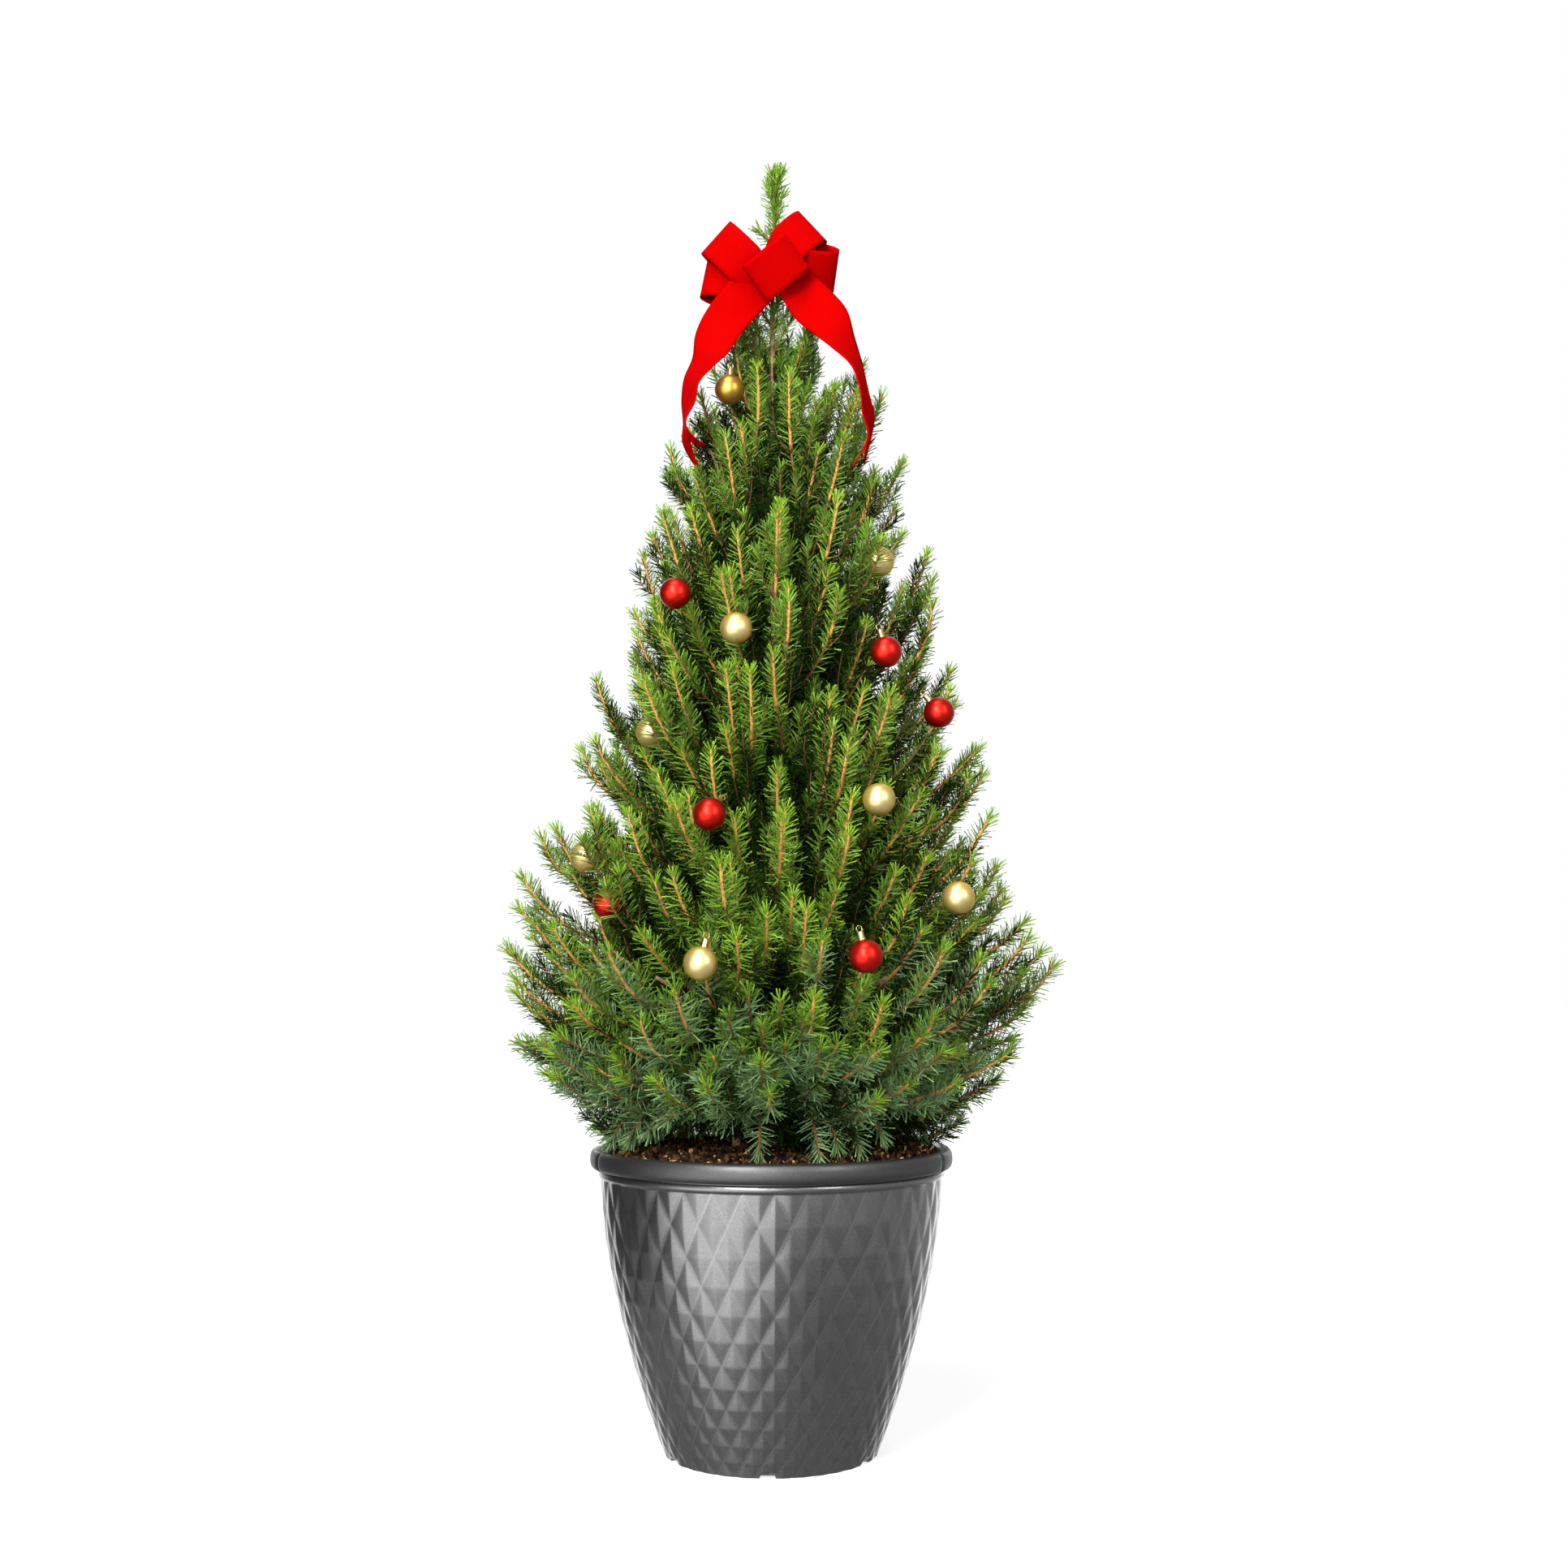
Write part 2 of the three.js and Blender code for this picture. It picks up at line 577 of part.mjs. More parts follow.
// A bough leaves the trunk, or the soil beside it, and ends where its mass begins.
function makeBough(tier, index, trunkSpace) {
  const cell = makeCell(tier, index);
  const end = cell.point(0, 0, BOUGH_END);
  const fromSoil = tier === TIERS[0] && SOIL_STEM_MASSES.includes(index);
  const outward = new THREE.Vector3(end.x, end.y, 0).normalize();
  const start = fromSoil
    ? outward.clone().multiplyScalar(SOIL_STEM_FOOT_RADIUS).setZ(SOIL_TOP + FIT_GAP)
    : springPoint(tier, (GOLDEN * (index + 1)) % 1);
  const inward = end.clone().sub(cell.point(0, 0, STEM_END)).normalize();
  const bendBack = start.distanceTo(end) * (fromSoil ? SOIL_STEM_LAST_BEND : LAST_BEND);
  const firstBend = start.clone().addScaledVector(fromSoil ? UP : outward, FIRST_BEND);
  const lastBend = end.clone().addScaledVector(inward, bendBack);
  const curve = new THREE.CubicBezierCurve3(start, firstBend, lastBend, end);
  const bough = limb(curve, (t) => tier.bough * lerp(1, BOUGH_TAPER, t), LIMB_SIDES, 3);
  return fromSoil ? bough : mainBody(bough.subtract(trunkSpace));
}

// Materials

function finish(color, roughness, metalness = 0) {
  return new THREE.MeshStandardMaterial({ color, roughness, metalness, flatShading: true });
}

const potFinish = finish(0x8c8d8f, 0.35, 0.6);
const soilFinish = finish(0x2f2420, 0.95);
const barkFinish = finish(0x6b4a33, 0.9);
const needleFinish = finish(0x5f8a2f, 0.7);
const freshFinish = finish(0x86ab45, 0.65);

// Assembly

const spruce = new THREE.Group();

function place(name, solid, material) {
  const mesh = new THREE.Mesh(geometryOf(solid), material);
  mesh.name = name;
  spruce.add(mesh);
}

const trunkSpace = makeTrunk(FIT_GAP);
place("pot", makePot(), potFinish);
place("soil", makeSoil(), soilFinish);
place("trunk", makeTrunk(), barkFinish);
TIERS.forEach((tier) => {
  for (let index = 0; index < tier.masses; index += 1) {
    if (tier.bough) {
      place(`bough_${tier.name}_${index + 1}`, makeBough(tier, index, trunkSpace), barkFinish);
    }
    place(`foliage_${tier.name}_${index + 1}`, makeMass(tier, index, trunkSpace), needleFinish);
  }
});
place("foliage_leader", makeLeader(), freshFinish);

export default spruce;
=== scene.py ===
# %% [markdown]
# # A potted dwarf spruce, dressed for Christmas
# This lesson builds the looks of one small conifer in a graphite pot. The solid model is loaded first, as
# a frame that never moves. Every piece made here sits on that frame, in the same place and at the same
# size.

# %% Load the frame
import itertools
import math

import bpy
import numpy as np
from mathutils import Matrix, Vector, noise


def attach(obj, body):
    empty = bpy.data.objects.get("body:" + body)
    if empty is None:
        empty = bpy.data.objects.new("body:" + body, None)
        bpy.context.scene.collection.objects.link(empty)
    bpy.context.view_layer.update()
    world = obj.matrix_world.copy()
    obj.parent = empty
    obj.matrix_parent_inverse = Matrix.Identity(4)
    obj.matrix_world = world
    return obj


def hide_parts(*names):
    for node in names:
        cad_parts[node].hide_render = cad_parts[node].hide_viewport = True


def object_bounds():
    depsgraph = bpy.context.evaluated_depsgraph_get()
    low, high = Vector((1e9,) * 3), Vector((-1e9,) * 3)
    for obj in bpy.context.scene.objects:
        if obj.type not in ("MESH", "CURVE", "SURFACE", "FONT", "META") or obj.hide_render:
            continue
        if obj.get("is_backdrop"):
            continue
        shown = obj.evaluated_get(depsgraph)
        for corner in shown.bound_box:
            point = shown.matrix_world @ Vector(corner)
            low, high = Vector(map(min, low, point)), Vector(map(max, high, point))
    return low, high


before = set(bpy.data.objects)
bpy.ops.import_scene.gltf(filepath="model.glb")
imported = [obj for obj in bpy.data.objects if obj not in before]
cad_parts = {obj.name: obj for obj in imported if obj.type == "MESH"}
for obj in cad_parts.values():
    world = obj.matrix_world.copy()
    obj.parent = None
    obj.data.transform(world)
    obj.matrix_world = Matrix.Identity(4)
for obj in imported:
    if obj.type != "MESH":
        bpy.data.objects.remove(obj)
cad_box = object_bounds()
print("frame:", len(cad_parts), "nodes, size", [round(side, 4) for side in cad_box[1] - cad_box[0]])

# %% [markdown]
# ## Camera
# The photograph was taken from a little over a metre and a half away, slightly above the pot, looking up
# by some degrees. These values came from fitting a camera to the ellipses of the pot's rim and foot. The
# camera is pitched instead of shifted, so that other views of the model keep the same lens and no shift.

# %% Camera
MM = 0.001
IMAGE_SIDE = 1932  # pixels
FOCAL_PIXELS = 2164.9
SENSOR_WIDTH = 36  # millimetres
CAMERA_PLACE = np.array([0.0, -1513.1, 380.2])  # millimetres
CAMERA_PITCH = math.radians(6.633)
CAMERA_YAW = math.radians(0.401)

camera_data = bpy.data.cameras.new("camera")
camera_data.sensor_width = SENSOR_WIDTH
camera_data.lens = FOCAL_PIXELS * SENSOR_WIDTH / IMAGE_SIDE
camera = bpy.data.objects.new("camera", camera_data)
camera.location = CAMERA_PLACE * MM
camera.rotation_euler = (math.pi / 2 + CAMERA_PITCH, 0, -CAMERA_YAW)
bpy.context.scene.collection.objects.link(camera)
bpy.context.scene.camera = camera

CAMERA_FORWARD = np.array([
    math.sin(CAMERA_YAW) * math.cos(CAMERA_PITCH),
    math.cos(CAMERA_YAW) * math.cos(CAMERA_PITCH),
    math.sin(CAMERA_PITCH),
])
CAMERA_RIGHT = np.array([math.cos(CAMERA_YAW), -math.sin(CAMERA_YAW), 0])
CAMERA_UP = np.cross(CAMERA_RIGHT, CAMERA_FORWARD)


def sight(px, py):
    """The direction from the camera through a pixel of the photograph."""
    across = (px - IMAGE_SIDE / 2) / FOCAL_PIXELS
    over = (IMAGE_SIDE / 2 - py) / FOCAL_PIXELS
    return CAMERA_FORWARD + across * CAMERA_RIGHT + over * CAMERA_UP


def photo_point(px, py, depth):
    """The point in millimetres that shows at a pixel and lies on the plane y = depth."""
    ray = sight(px, py)
    return CAMERA_PLACE + ray * (depth - CAMERA_PLACE[1]) / ray[1]


print("lens:", round(camera_data.lens, 2), "mm")

# %% [markdown]
# ## Finishes as expressions
# A finish is a small program of shader nodes. Wiring nodes by hand is slow to read, so one class wraps a
# socket and lets Python's own signs add the Math nodes: `1 - mask * 0.4` is two nodes. A graph adds any
# other node. A finish is a graph with a material and a Principled shader, whose sockets it sets.

# %% Finishes as expressions
class Field:
    """A value that changes over a surface: one output socket of a shader node."""

    def __init__(self, graph, socket):
        self.graph = graph
        self.socket = socket

    def _math(self, operation, first, second):
        return self.graph.node("Math", {"operation": operation}, {0: first, 1: second})

    def __add__(self, other):
        return self._math("ADD", self, other)

    def __sub__(self, other):
        return self._math("SUBTRACT", self, other)

    def __rsub__(self, other):
        return self._math("SUBTRACT", other, self)

    def __mul__(self, other):
        return self._math("MULTIPLY", self, other)

    __radd__ = __add__
    __rmul__ = __mul__


class Graph:
    """A tree of shader nodes."""

    def __init__(self, tree):
        self.tree = tree

    def feed(self, socket, value):
        if isinstance(value, Field):
            self.tree.links.new(value.socket, socket)
        else:
            socket.default_value = value

    def node(self, kind, settings, sockets, output=0):
        """Adds a node, with its settings first and then the values or links of its sockets."""
        made = self.tree.nodes.new("ShaderNode" + kind)
        for name, value in settings.items():
            setattr(made, name, value)
        for name, value in sockets.items():
            self.feed(made.inputs[name], value)
        return Field(self, made.outputs[output])

    def grain(self, scale, detail=2.0, roughness=0.5):
        """Cloudy noise from 0 to 1, with scale in spots a metre."""
        place = self.node("TexCoord", {}, {}, "Object")
        sockets = {"Vector": place, "Scale": scale, "Detail": detail, "Roughness": roughness}
        return self.node("TexNoise", {}, sockets)

    def steps(self, field, low, high):
        """The field stretched so that low becomes 0 and high becomes 1."""
        return self.node("MapRange", {}, {"Value": field, "From Min": low, "From Max": high})

    def mix(self, share, first, second):
        """A colour between two colours."""
        return self.node("Mix", {"data_type": "RGBA"}, {0: share, 6: first, 7: second}, 2)

    def bump(self, height, depth, strength=1.0):
        return self.node("Bump", {}, {"Height": height, "Distance": depth, "Strength": strength})


class Finish(Graph):
    """A material with one Principled shader. Numbers are set on its sockets, and fields are linked."""

    def __init__(self, name, **sockets):
        self.material = bpy.data.materials.new(name)
        self.material.use_nodes = True
        super().__init__(self.material.node_tree)
        self.shader = self.tree.nodes["Principled BSDF"]
        self.set(**sockets)

    def set(self, **sockets):
        """Feeds sockets of the shader, with _ in the place of a space in their names."""
        for name, value in sockets.items():
            self.feed(self.shader.inputs[name.replace("_", " ")], value)


def rgb(red, green, blue):
    return (red, green, blue, 1)


WHITE = rgb(1, 1, 1)
BLACK = rgb(0, 0, 0)

# %% [markdown]
# ## Studio
# The plant stands on a plain pale floor before a white background, with soft boxes in front, above and
# behind. An area light is the soft box of a real studio: the larger it is, the softer the shadow. A
# glossy pot also shows the room around it. So the world has two parts: a dim even light for everything,
# and a plain room that only reflections see, dark on the left and grey on the right, with one tall white
# screen left of the camera. The camera itself sees the background as plain white.

# %% Studio
FLOOR_HALF = 30.0  # metres
FLOOR_GLOW = 0.75  # what the floor near the pot lacks to look white
FLOOR_WHITE_FROM = 2.2  # metres from the pot at which the floor is as white as the background
FLOOR_PLAIN_TO = 0.4  # metres from the pot at which the floor starts to whiten
SCREEN_BRIGHTNESS = 2.4
BACKDROP_BRIGHTNESS = 1.0
# Each of these pairs holds the two values of a direction between which a part of the mirrored room fades in.
SCREEN_RIGHT_EDGE = (0.04, -0.1)
SCREEN_FRONT = (0.2, 0.65)
SCREEN_BRIGHT_SIDE = (-0.25, -0.6)
SCREEN_FOOT = (-0.74, -0.42)
SCREEN_HEAD = (0.2, 0.05)
BACKDROP_EDGE = (-0.68, -0.92)
ROOM_SIDES = (-0.5, 0.1)
ROOM_FLOOR_SIDES = (0.3, -0.3)
ROOM_FLOOR_LINE = (-0.33, -0.36)
SKY_RISE = (0.2, 0.9)
AIM_HEIGHT = 0.55  # metres, the middle of the plant
BOX_POWER = 4  # watts for a square metre of soft box at a brightness of 1
SOFT_BOXES = [
    # name, azimuth in degrees, then distance, height, width and tallness in metres, and brightness
    ("key_box", -20, 1.7, 1.3, 0.6, 1.2, 16.0),
    ("fill_box", 38, 2.0, 1.2, 0.6, 1.2, 5.0),
    ("top_box", -20, 0.8, 2.5, 0.8, 0.8, 9.0),
    ("back_box", 190, 2.4, 1.3, 1.0, 1.4, 2.5),
    ("low_box", -8, 2.3, 0.5, 1.0, 0.4, 6.0),
]

scene = bpy.context.scene
scene.view_settings.view_transform = "Standard"
world = bpy.data.worlds.new("studio")
scene.world = world
world.use_nodes = True
sky = Graph(world.node_tree)
sky_way = sky.node("TexCoord", {}, {}, "Generated")
sky_z = sky.node("SeparateXYZ", {}, {"Vector": sky_way}, "Z")
sky_flat = sky.node("VectorMath", {"operation": "MULTIPLY"}, {0: sky_way, 1: (1, 1, 0)})
sky_level = sky.node("VectorMath", {"operation": "NORMALIZE"}, {0: sky_flat})
to_right, to_back = (sky.node("SeparateXYZ", {}, {"Vector": sky_level}, axis) for axis in "XY")
to_front = -1 * to_back
screen = sky.steps(to_right, *SCREEN_RIGHT_EDGE) * sky.steps(to_front, *SCREEN_FRONT)
screen = screen * (0.65 + 0.35 * sky.steps(to_right, *SCREEN_BRIGHT_SIDE))
screen = screen * sky.steps(sky_z, *SCREEN_FOOT) * sky.steps(sky_z, *SCREEN_HEAD)
backdrop = BACKDROP_BRIGHTNESS * sky.steps(to_front, *BACKDROP_EDGE)
clutter = sky.node("TexNoise", {}, {"Vector": sky_way, "Scale": 4.0, "Detail": 1.0})
room = 0.02 + 0.4 * sky.steps(to_right, *ROOM_SIDES) + backdrop
room_floor = 0.25 + 0.04 * sky.steps(to_right, *ROOM_FLOOR_SIDES) + 0.4 * backdrop
below = sky.steps(sky_z, *ROOM_FLOOR_LINE)
plain_room = room * (1 - below) + room_floor * below
mirrored_light = plain_room * (0.1 + 1.7 * clutter) + SCREEN_BRIGHTNESS * screen
even_light = 0.06 + 0.3 * sky.steps(sky_z, *SKY_RISE)
in_mirror = sky.node("LightPath", {}, {}, "Is Glossy Ray")
seen = sky.node("LightPath", {}, {}, "Is Camera Ray")
sky_light = even_light + in_mirror * (mirrored_light - even_light)
sky.feed(world.node_tree.nodes["Background"].inputs["Color"], sky.mix(seen, sky_light, WHITE))


def soft_box(name, azimuth, distance, height, width, tall, brightness):
    """An upright area light that faces the middle of the plant. Azimuth 0 is the camera's side."""
    data = bpy.data.lights.new(name, "AREA")
    data.shape = "RECTANGLE"
    data.size = width
    data.size_y = tall
    data.energy = BOX_POWER * width * tall * brightness
    box = bpy.data.objects.new(name, data)
    turn = math.radians(azimuth)
    box.location = (distance * math.sin(turn), -distance * math.cos(turn), height)
    aim = Vector((0, 0, AIM_HEIGHT)) - box.location
    box.rotation_euler = aim.to_track_quat("-Z", "Y").to_euler()
    box.visible_camera = False
    bpy.context.scene.collection.objects.link(box)


for box_values in SOFT_BOXES:
    soft_box(*box_values)

floor_mesh = bpy.data.meshes.new("floor")
floor_corners = [(x * FLOOR_HALF, y * FLOOR_HALF, 0) for x, y in ((-1, -1), (1, -1), (1, 1), (-1, 1))]
floor_mesh.from_pydata(floor_corners, [], [(0, 1, 2, 3)])
floor = bpy.data.objects.new("floor", floor_mesh)
bpy.context.scene.collection.objects.link(floor)
floor.visible_glossy = False
floor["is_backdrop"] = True
floor_finish = Finish("studio floor", Roughness=0.9, Emission_Strength=1.0)
floor_seen = floor_finish.node("LightPath", {}, {}, "Is Camera Ray")
floor_place = floor_finish.node("TexCoord", {}, {}, "Object")
floor_away = floor_finish.node("VectorMath", {"operation": "LENGTH"}, {0: floor_place}, "Value")
floor_near = rgb(FLOOR_GLOW, FLOOR_GLOW, FLOOR_GLOW)
floor_white = floor_finish.steps(floor_away, FLOOR_PLAIN_TO, FLOOR_WHITE_FROM)
floor_glow = floor_finish.mix(floor_white, floor_near, WHITE)
floor_finish.set(
    Base_Color=floor_finish.mix(floor_finish.grain(3.0), rgb(0.38, 0.38, 0.38), rgb(0.42, 0.42, 0.42)),
    Emission_Color=floor_finish.mix(floor_seen, BLACK, floor_glow),
)
floor_mesh.materials.append(floor_finish.material)
print("studio:", len(bpy.data.lights), "soft boxes")

# %% [markdown]
# ## Meshes from arrays
# A tree has far too many needles to model one by one, and instances would be lost when the model is
# exported. So points and triangles are worked out as arrays of numbers, and each array becomes one mesh.
# Sizes are written in millimetres here, as in the solid model, and turned into Blender's metres at the
# last moment.

# %% Meshes from arrays
def lerp(low, high, share):
    return low + (high - low) * share


def unit(vectors):
    return vectors / np.maximum(np.linalg.norm(vectors, axis=-1, keepdims=True), 1e-9)


def grid_triangles(rows, columns):
    """Triangles over a grid of points, row by row, with the last column joined to the first."""
    row, column = np.meshgrid(np.arange(rows - 1), np.arange(columns), indexing="ij")
    low = row * columns + column
    low_next = row * columns + (column + 1) % columns
    high, high_next = low + columns, low_next + columns
    first = np.stack([low, low_next, high_next], -1).reshape(-1, 3)
    second = np.stack([low, high_next, high], -1).reshape(-1, 3)
    return np.concatenate([first, second])


def make_piece(name, points, triangles, finish, slot, replaced=(), smooth=True):
    """A mesh from points in millimetres, riding on the plant's one body."""
    points = np.asarray(points, float).reshape(-1, 3) * MM
    triangles = np.asarray(triangles, np.int32)
    mesh = bpy.data.meshes.new(name)
    mesh.vertices.add(len(points))
    mesh.vertices.foreach_set("co", points.ravel())
    mesh.loops.add(triangles.size)
    mesh.loops.foreach_set("vertex_index", triangles.ravel())
    mesh.polygons.add(len(triangles))
    mesh.polygons.foreach_set("loop_start", np.arange(0, triangles.size, 3, dtype=np.int32))
    mesh.update(calc_edges=True)
    mesh.polygons.foreach_set("use_smooth", np.full(len(triangles), smooth))
    mesh.materials.append(finish.material)
    piece = bpy.data.objects.new(name, mesh)
    bpy.context.scene.collection.objects.link(piece)
    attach(piece, "root")
    if replaced:
        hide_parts(*replaced)
    print(name, len(triangles), "triangles")


def join(parts):
    """One pair of arrays from several pairs of points and triangles."""
    points, triangles, start = [], [], 0
    for part_points, part_triangles in parts:
        part_points = np.asarray(part_points, float).reshape(-1, 3)
        points.append(part_points)
        triangles.append(np.asarray(part_triangles) + start)
        start += len(part_points)
    return np.concatenate(points), np.concatenate(triangles)


def lathe(profile, columns):
    """Points of a profile of (radius, height) pairs turned round the upright axis, and their triangles."""
    profile = np.asarray(profile, float)
    angle = 2 * np.pi * np.arange(columns) / columns
    ring = np.stack([np.cos(angle), np.sin(angle)], -1)
    flat = profile[:, None, :1] * ring[None]
    rise = np.broadcast_to(profile[:, None, 1:], flat.shape[:2] + (1,))
    return np.concatenate([flat, rise], -1).reshape(-1, 3), grid_triangles(len(profile), columns)


# %% [markdown]
# ## Pot: shape
# The real pot is moulded plastic: a tapering wall covered with low four-sided pyramids, a collar, and a
# rolled rim. The lattice could be modelled as separate pyramids, but then their edges would be razor
# sharp. Here the wall is one fine grid whose radius follows a formula, with extra grid lines close to
# each ridge and valley, so that every edge is softly rounded as moulding leaves it.

# %% Pot: shape
POT_BASE_RADIUS = 88.5
POT_BODY_RADIUS = 143
POT_BODY_HEIGHT = 224
POT_SWELL = 1.65
LATTICE_COLUMNS = 72
LATTICE_ROWS = 12
LATTICE_TURN = math.radians(1.2)
LATTICE_CROWDING = 0.4
LATTICE_RELIEF = 1.25
LATTICE_SHRINK = 0.3
LATTICE_STEPS = np.array([0, 0.06, 0.25, 0.5, 0.75, 0.94])  # grid lines between two lattice lines
EDGE_ROUNDING = 0.05
FACET_SWELL = 1.25  # above 1, the facets of the diamonds bulge a little
NOTCH_COUNT = 6
NOTCH_TURN = math.radians(-92)
NOTCH_HALF_ANGLE = math.radians(3.9)
NOTCH_HEIGHT = 3
NOTCH_DEPTH = 9


def pot_radius(z):
    rise = np.minimum(z / POT_BODY_HEIGHT, 1)
    return lerp(POT_BASE_RADIUS, POT_BODY_RADIUS, 1 - (1 - rise) ** POT_SWELL)


def valley_distance(x):
    """How far a lattice coordinate is from the nearest valley, rounded where it meets it."""
    to_even = np.abs((x + 1) % 2 - 1)
    return np.sqrt(to_even ** 2 + EDGE_ROUNDING ** 2)


def lattice_height(column, row):
    """Height of the raised diamonds, from 0 in the valleys to 1 at their points."""
    near, far = valley_distance(column + row), valley_distance(column - row)
    height = (near + far - np.sqrt((near - far) ** 2 + EDGE_ROUNDING ** 2)) / 2
    return 1 - (1 - np.clip(height, 0, 1)) ** FACET_SWELL


def in_notch(angle):
    """Where the foot's edge is cut by a drainage notch."""
    step = 2 * np.pi / NOTCH_COUNT
    off = (angle - NOTCH_TURN + step / 2) % step - step / 2
    return np.abs(off) < NOTCH_HALF_ANGLE


columns = (np.arange(LATTICE_COLUMNS)[:, None] + LATTICE_STEPS).ravel()
rows = np.append((np.arange(LATTICE_ROWS)[:, None] + LATTICE_STEPS).ravel(), LATTICE_ROWS)
row_grid, column_grid = np.meshgrid(rows, columns, indexing="ij")
rise = row_grid / LATTICE_ROWS
wall_z = POT_BODY_HEIGHT * ((1 - LATTICE_CROWDING) * rise + LATTICE_CROWDING * rise ** 2)
relief = LATTICE_RELIEF * (1 - LATTICE_SHRINK * (1 - rise))
wall_radius = pot_radius(wall_z) + relief * (lattice_height(column_grid, row_grid) - 0.5)
wall_angle = LATTICE_TURN + 2 * np.pi * column_grid / LATTICE_COLUMNS
wall_z = np.where(in_notch(wall_angle), np.maximum(wall_z, NOTCH_HEIGHT), wall_z)

RIM_MIDDLE = (147.2, 239)
RIM_HALF = (5.3, 8.0)
RIM_SQUARENESS = 0.8
RIM_TURNS = (-78, 200)  # degrees round the rim's own section, from the collar over the top to the inside
RIM_STEPS = 40
rim_turns = np.radians(np.linspace(*RIM_TURNS, RIM_STEPS))
rim_profile = np.stack([
    RIM_MIDDLE[0] + RIM_HALF[0] * np.sign(np.cos(rim_turns)) * np.abs(np.cos(rim_turns)) ** RIM_SQUARENESS,
    RIM_MIDDLE[1] + RIM_HALF[1] * np.sign(np.sin(rim_turns)) * np.abs(np.sin(rim_turns)) ** RIM_SQUARENESS,
], -1)
collar_profile = [
    (144.4, 224.1), (145.0, 224.5), (145.6, 225.3), (145.8, 226.6), (145.7, 228.4),
    (145.1, 229.4), (144.2, 229.9), (144.0, 230.5), (145.0, 231.0),
]
inside_profile = [(141.8, 232), (140.6, 226), (140.0, 215)]
upper_profile = np.concatenate([collar_profile, rim_profile, inside_profile])
SEAM_COLUMNS = np.array([4, 31, 40, 67])  # lattice columns below the mould's grooves in the rim
SEAM_DEPTH = 1.2
SEAM_REACH = 0.1  # in lattice columns
RIM_FACE_FROM = 0.4  # share of the rim's half width past which a groove is cut
UNDERSIDE_RING = 20
NOTCH_WALL = 0.1
on_seam = np.abs(columns[None] - SEAM_COLUMNS[:, None]).min(0) < SEAM_REACH
rim_face = upper_profile[:, :1] > RIM_MIDDLE[0] + RIM_FACE_FROM * RIM_HALF[0]
ring_angle = wall_angle[0]
upper_radius = np.repeat(upper_profile[:, :1], len(columns), 1) - SEAM_DEPTH * (rim_face & on_seam)
upper_z = np.repeat(upper_profile[:, 1:], len(columns), 1)
foot_roof = np.where(in_notch(ring_angle), NOTCH_HEIGHT, 0.0)
foot_inner = POT_BASE_RADIUS - NOTCH_DEPTH
foot_rings = (UNDERSIDE_RING, foot_inner - NOTCH_WALL, foot_inner)
foot_radius = np.stack([np.full(len(columns), radius) for radius in foot_rings])
foot_z = np.stack([0 * foot_roof, 0 * foot_roof, foot_roof])

pot_r = np.concatenate([foot_radius, wall_radius, upper_radius])
pot_z = np.concatenate([foot_z, wall_z, upper_z])
pot_points = np.stack([pot_r * np.cos(ring_angle), pot_r * np.sin(ring_angle), pot_z], -1)


def lattice_triangles(points):
    """Triangles of the wall whose diagonals follow the diamonds' edges, so no facet is folded."""
    row_count, column_count = points.shape[:2]
    plain = grid_triangles(row_count, column_count)
    half = len(plain) // 2
    low, low_next, high_next = plain[:half].T
    high = plain[half:, 2]
    row = np.repeat(np.arange(row_count - 1), column_count)
    column = np.tile(np.arange(column_count), row_count - 1)
    lattice_row = (row - len(foot_radius)) // len(LATTICE_STEPS)
    lattice_column = column // len(LATTICE_STEPS)
    flip = ((lattice_row + lattice_column) % 2 == 1)[:, None]
    first = np.where(flip, np.stack([low, low_next, high], -1), np.stack([low, low_next, high_next], -1))
    second = np.where(flip, np.stack([low_next, high_next, high], -1), np.stack([low, high_next, high], -1))
    return np.concatenate([first, second])


pot_triangles = lattice_triangles(pot_points)
pot_points = pot_points.reshape(-1, 3)
under_ring = np.arange(len(columns))
under_fan = np.stack([np.full(len(columns), len(pot_points)), np.roll(under_ring, -1), under_ring], -1)
pot_points = np.append(pot_points, [[0, 0, 0]], axis=0)
pot_triangles = np.concatenate([pot_triangles, under_fan])

# %% [markdown]
# ## Pot: finish
# The paint is dark graphite with metal flakes under a thin clear layer. Flakes are far smaller than a
# pixel, so fine noise in the colour and in the roughness gives their sparkle, and the coat on top gives
# the sharp reflections over the broad soft ones. The valleys of the lattice hold a fine pale line of
# painted highlight, for the light that the moulded edges catch, stronger on the lines that rise to the
# right: the shader finds them by the same formula as the shape. The rolled rim is duller, and its darker
# colour is painted shade, for the dim reflections that it shows.

# %% Pot: finish
RIM_LEVELS = (0.2295, 0.2315)  # metres between which the rim's paint begins
WALL_LEVELS = (0.2245, 0.2235)  # metres between which the lattice ends
PAINTED_HIGHLIGHT_EDGE = (0.09, 0.03)  # distances from a valley between which its line of painted highlight fades in
FALLING_HIGHLIGHT_SHARE = 0.35  # how bright the painted highlight of the falling lines is beside the rising ones

paint = Finish("graphite paint", Metallic=0.9, Coat_Roughness=0.04)
flake = paint.grain(1500.0, 2.0)
cloud = paint.grain(18.0, 3.0)
paint_place = paint.node("TexCoord", {}, {}, "Object")
paint_x, paint_y, paint_level = (
    paint.node("SeparateXYZ", {}, {"Vector": paint_place}, axis) for axis in "XYZ")
on_rim = paint.steps(paint_level, *RIM_LEVELS)
on_wall = paint.steps(paint_level, *WALL_LEVELS)
paint_turn = paint.node("Math", {"operation": "ARCTAN2"}, {0: paint_y, 1: paint_x})
paint_column = (paint_turn - LATTICE_TURN) * (LATTICE_COLUMNS / (2 * math.pi))
even_rows = 1 - LATTICE_CROWDING
crowded = even_rows ** 2 + paint_level * (4 * LATTICE_CROWDING / (POT_BODY_HEIGHT * MM))
paint_rise = paint.node("Math", {"operation": "SQRT"}, {0: crowded}) - even_rows
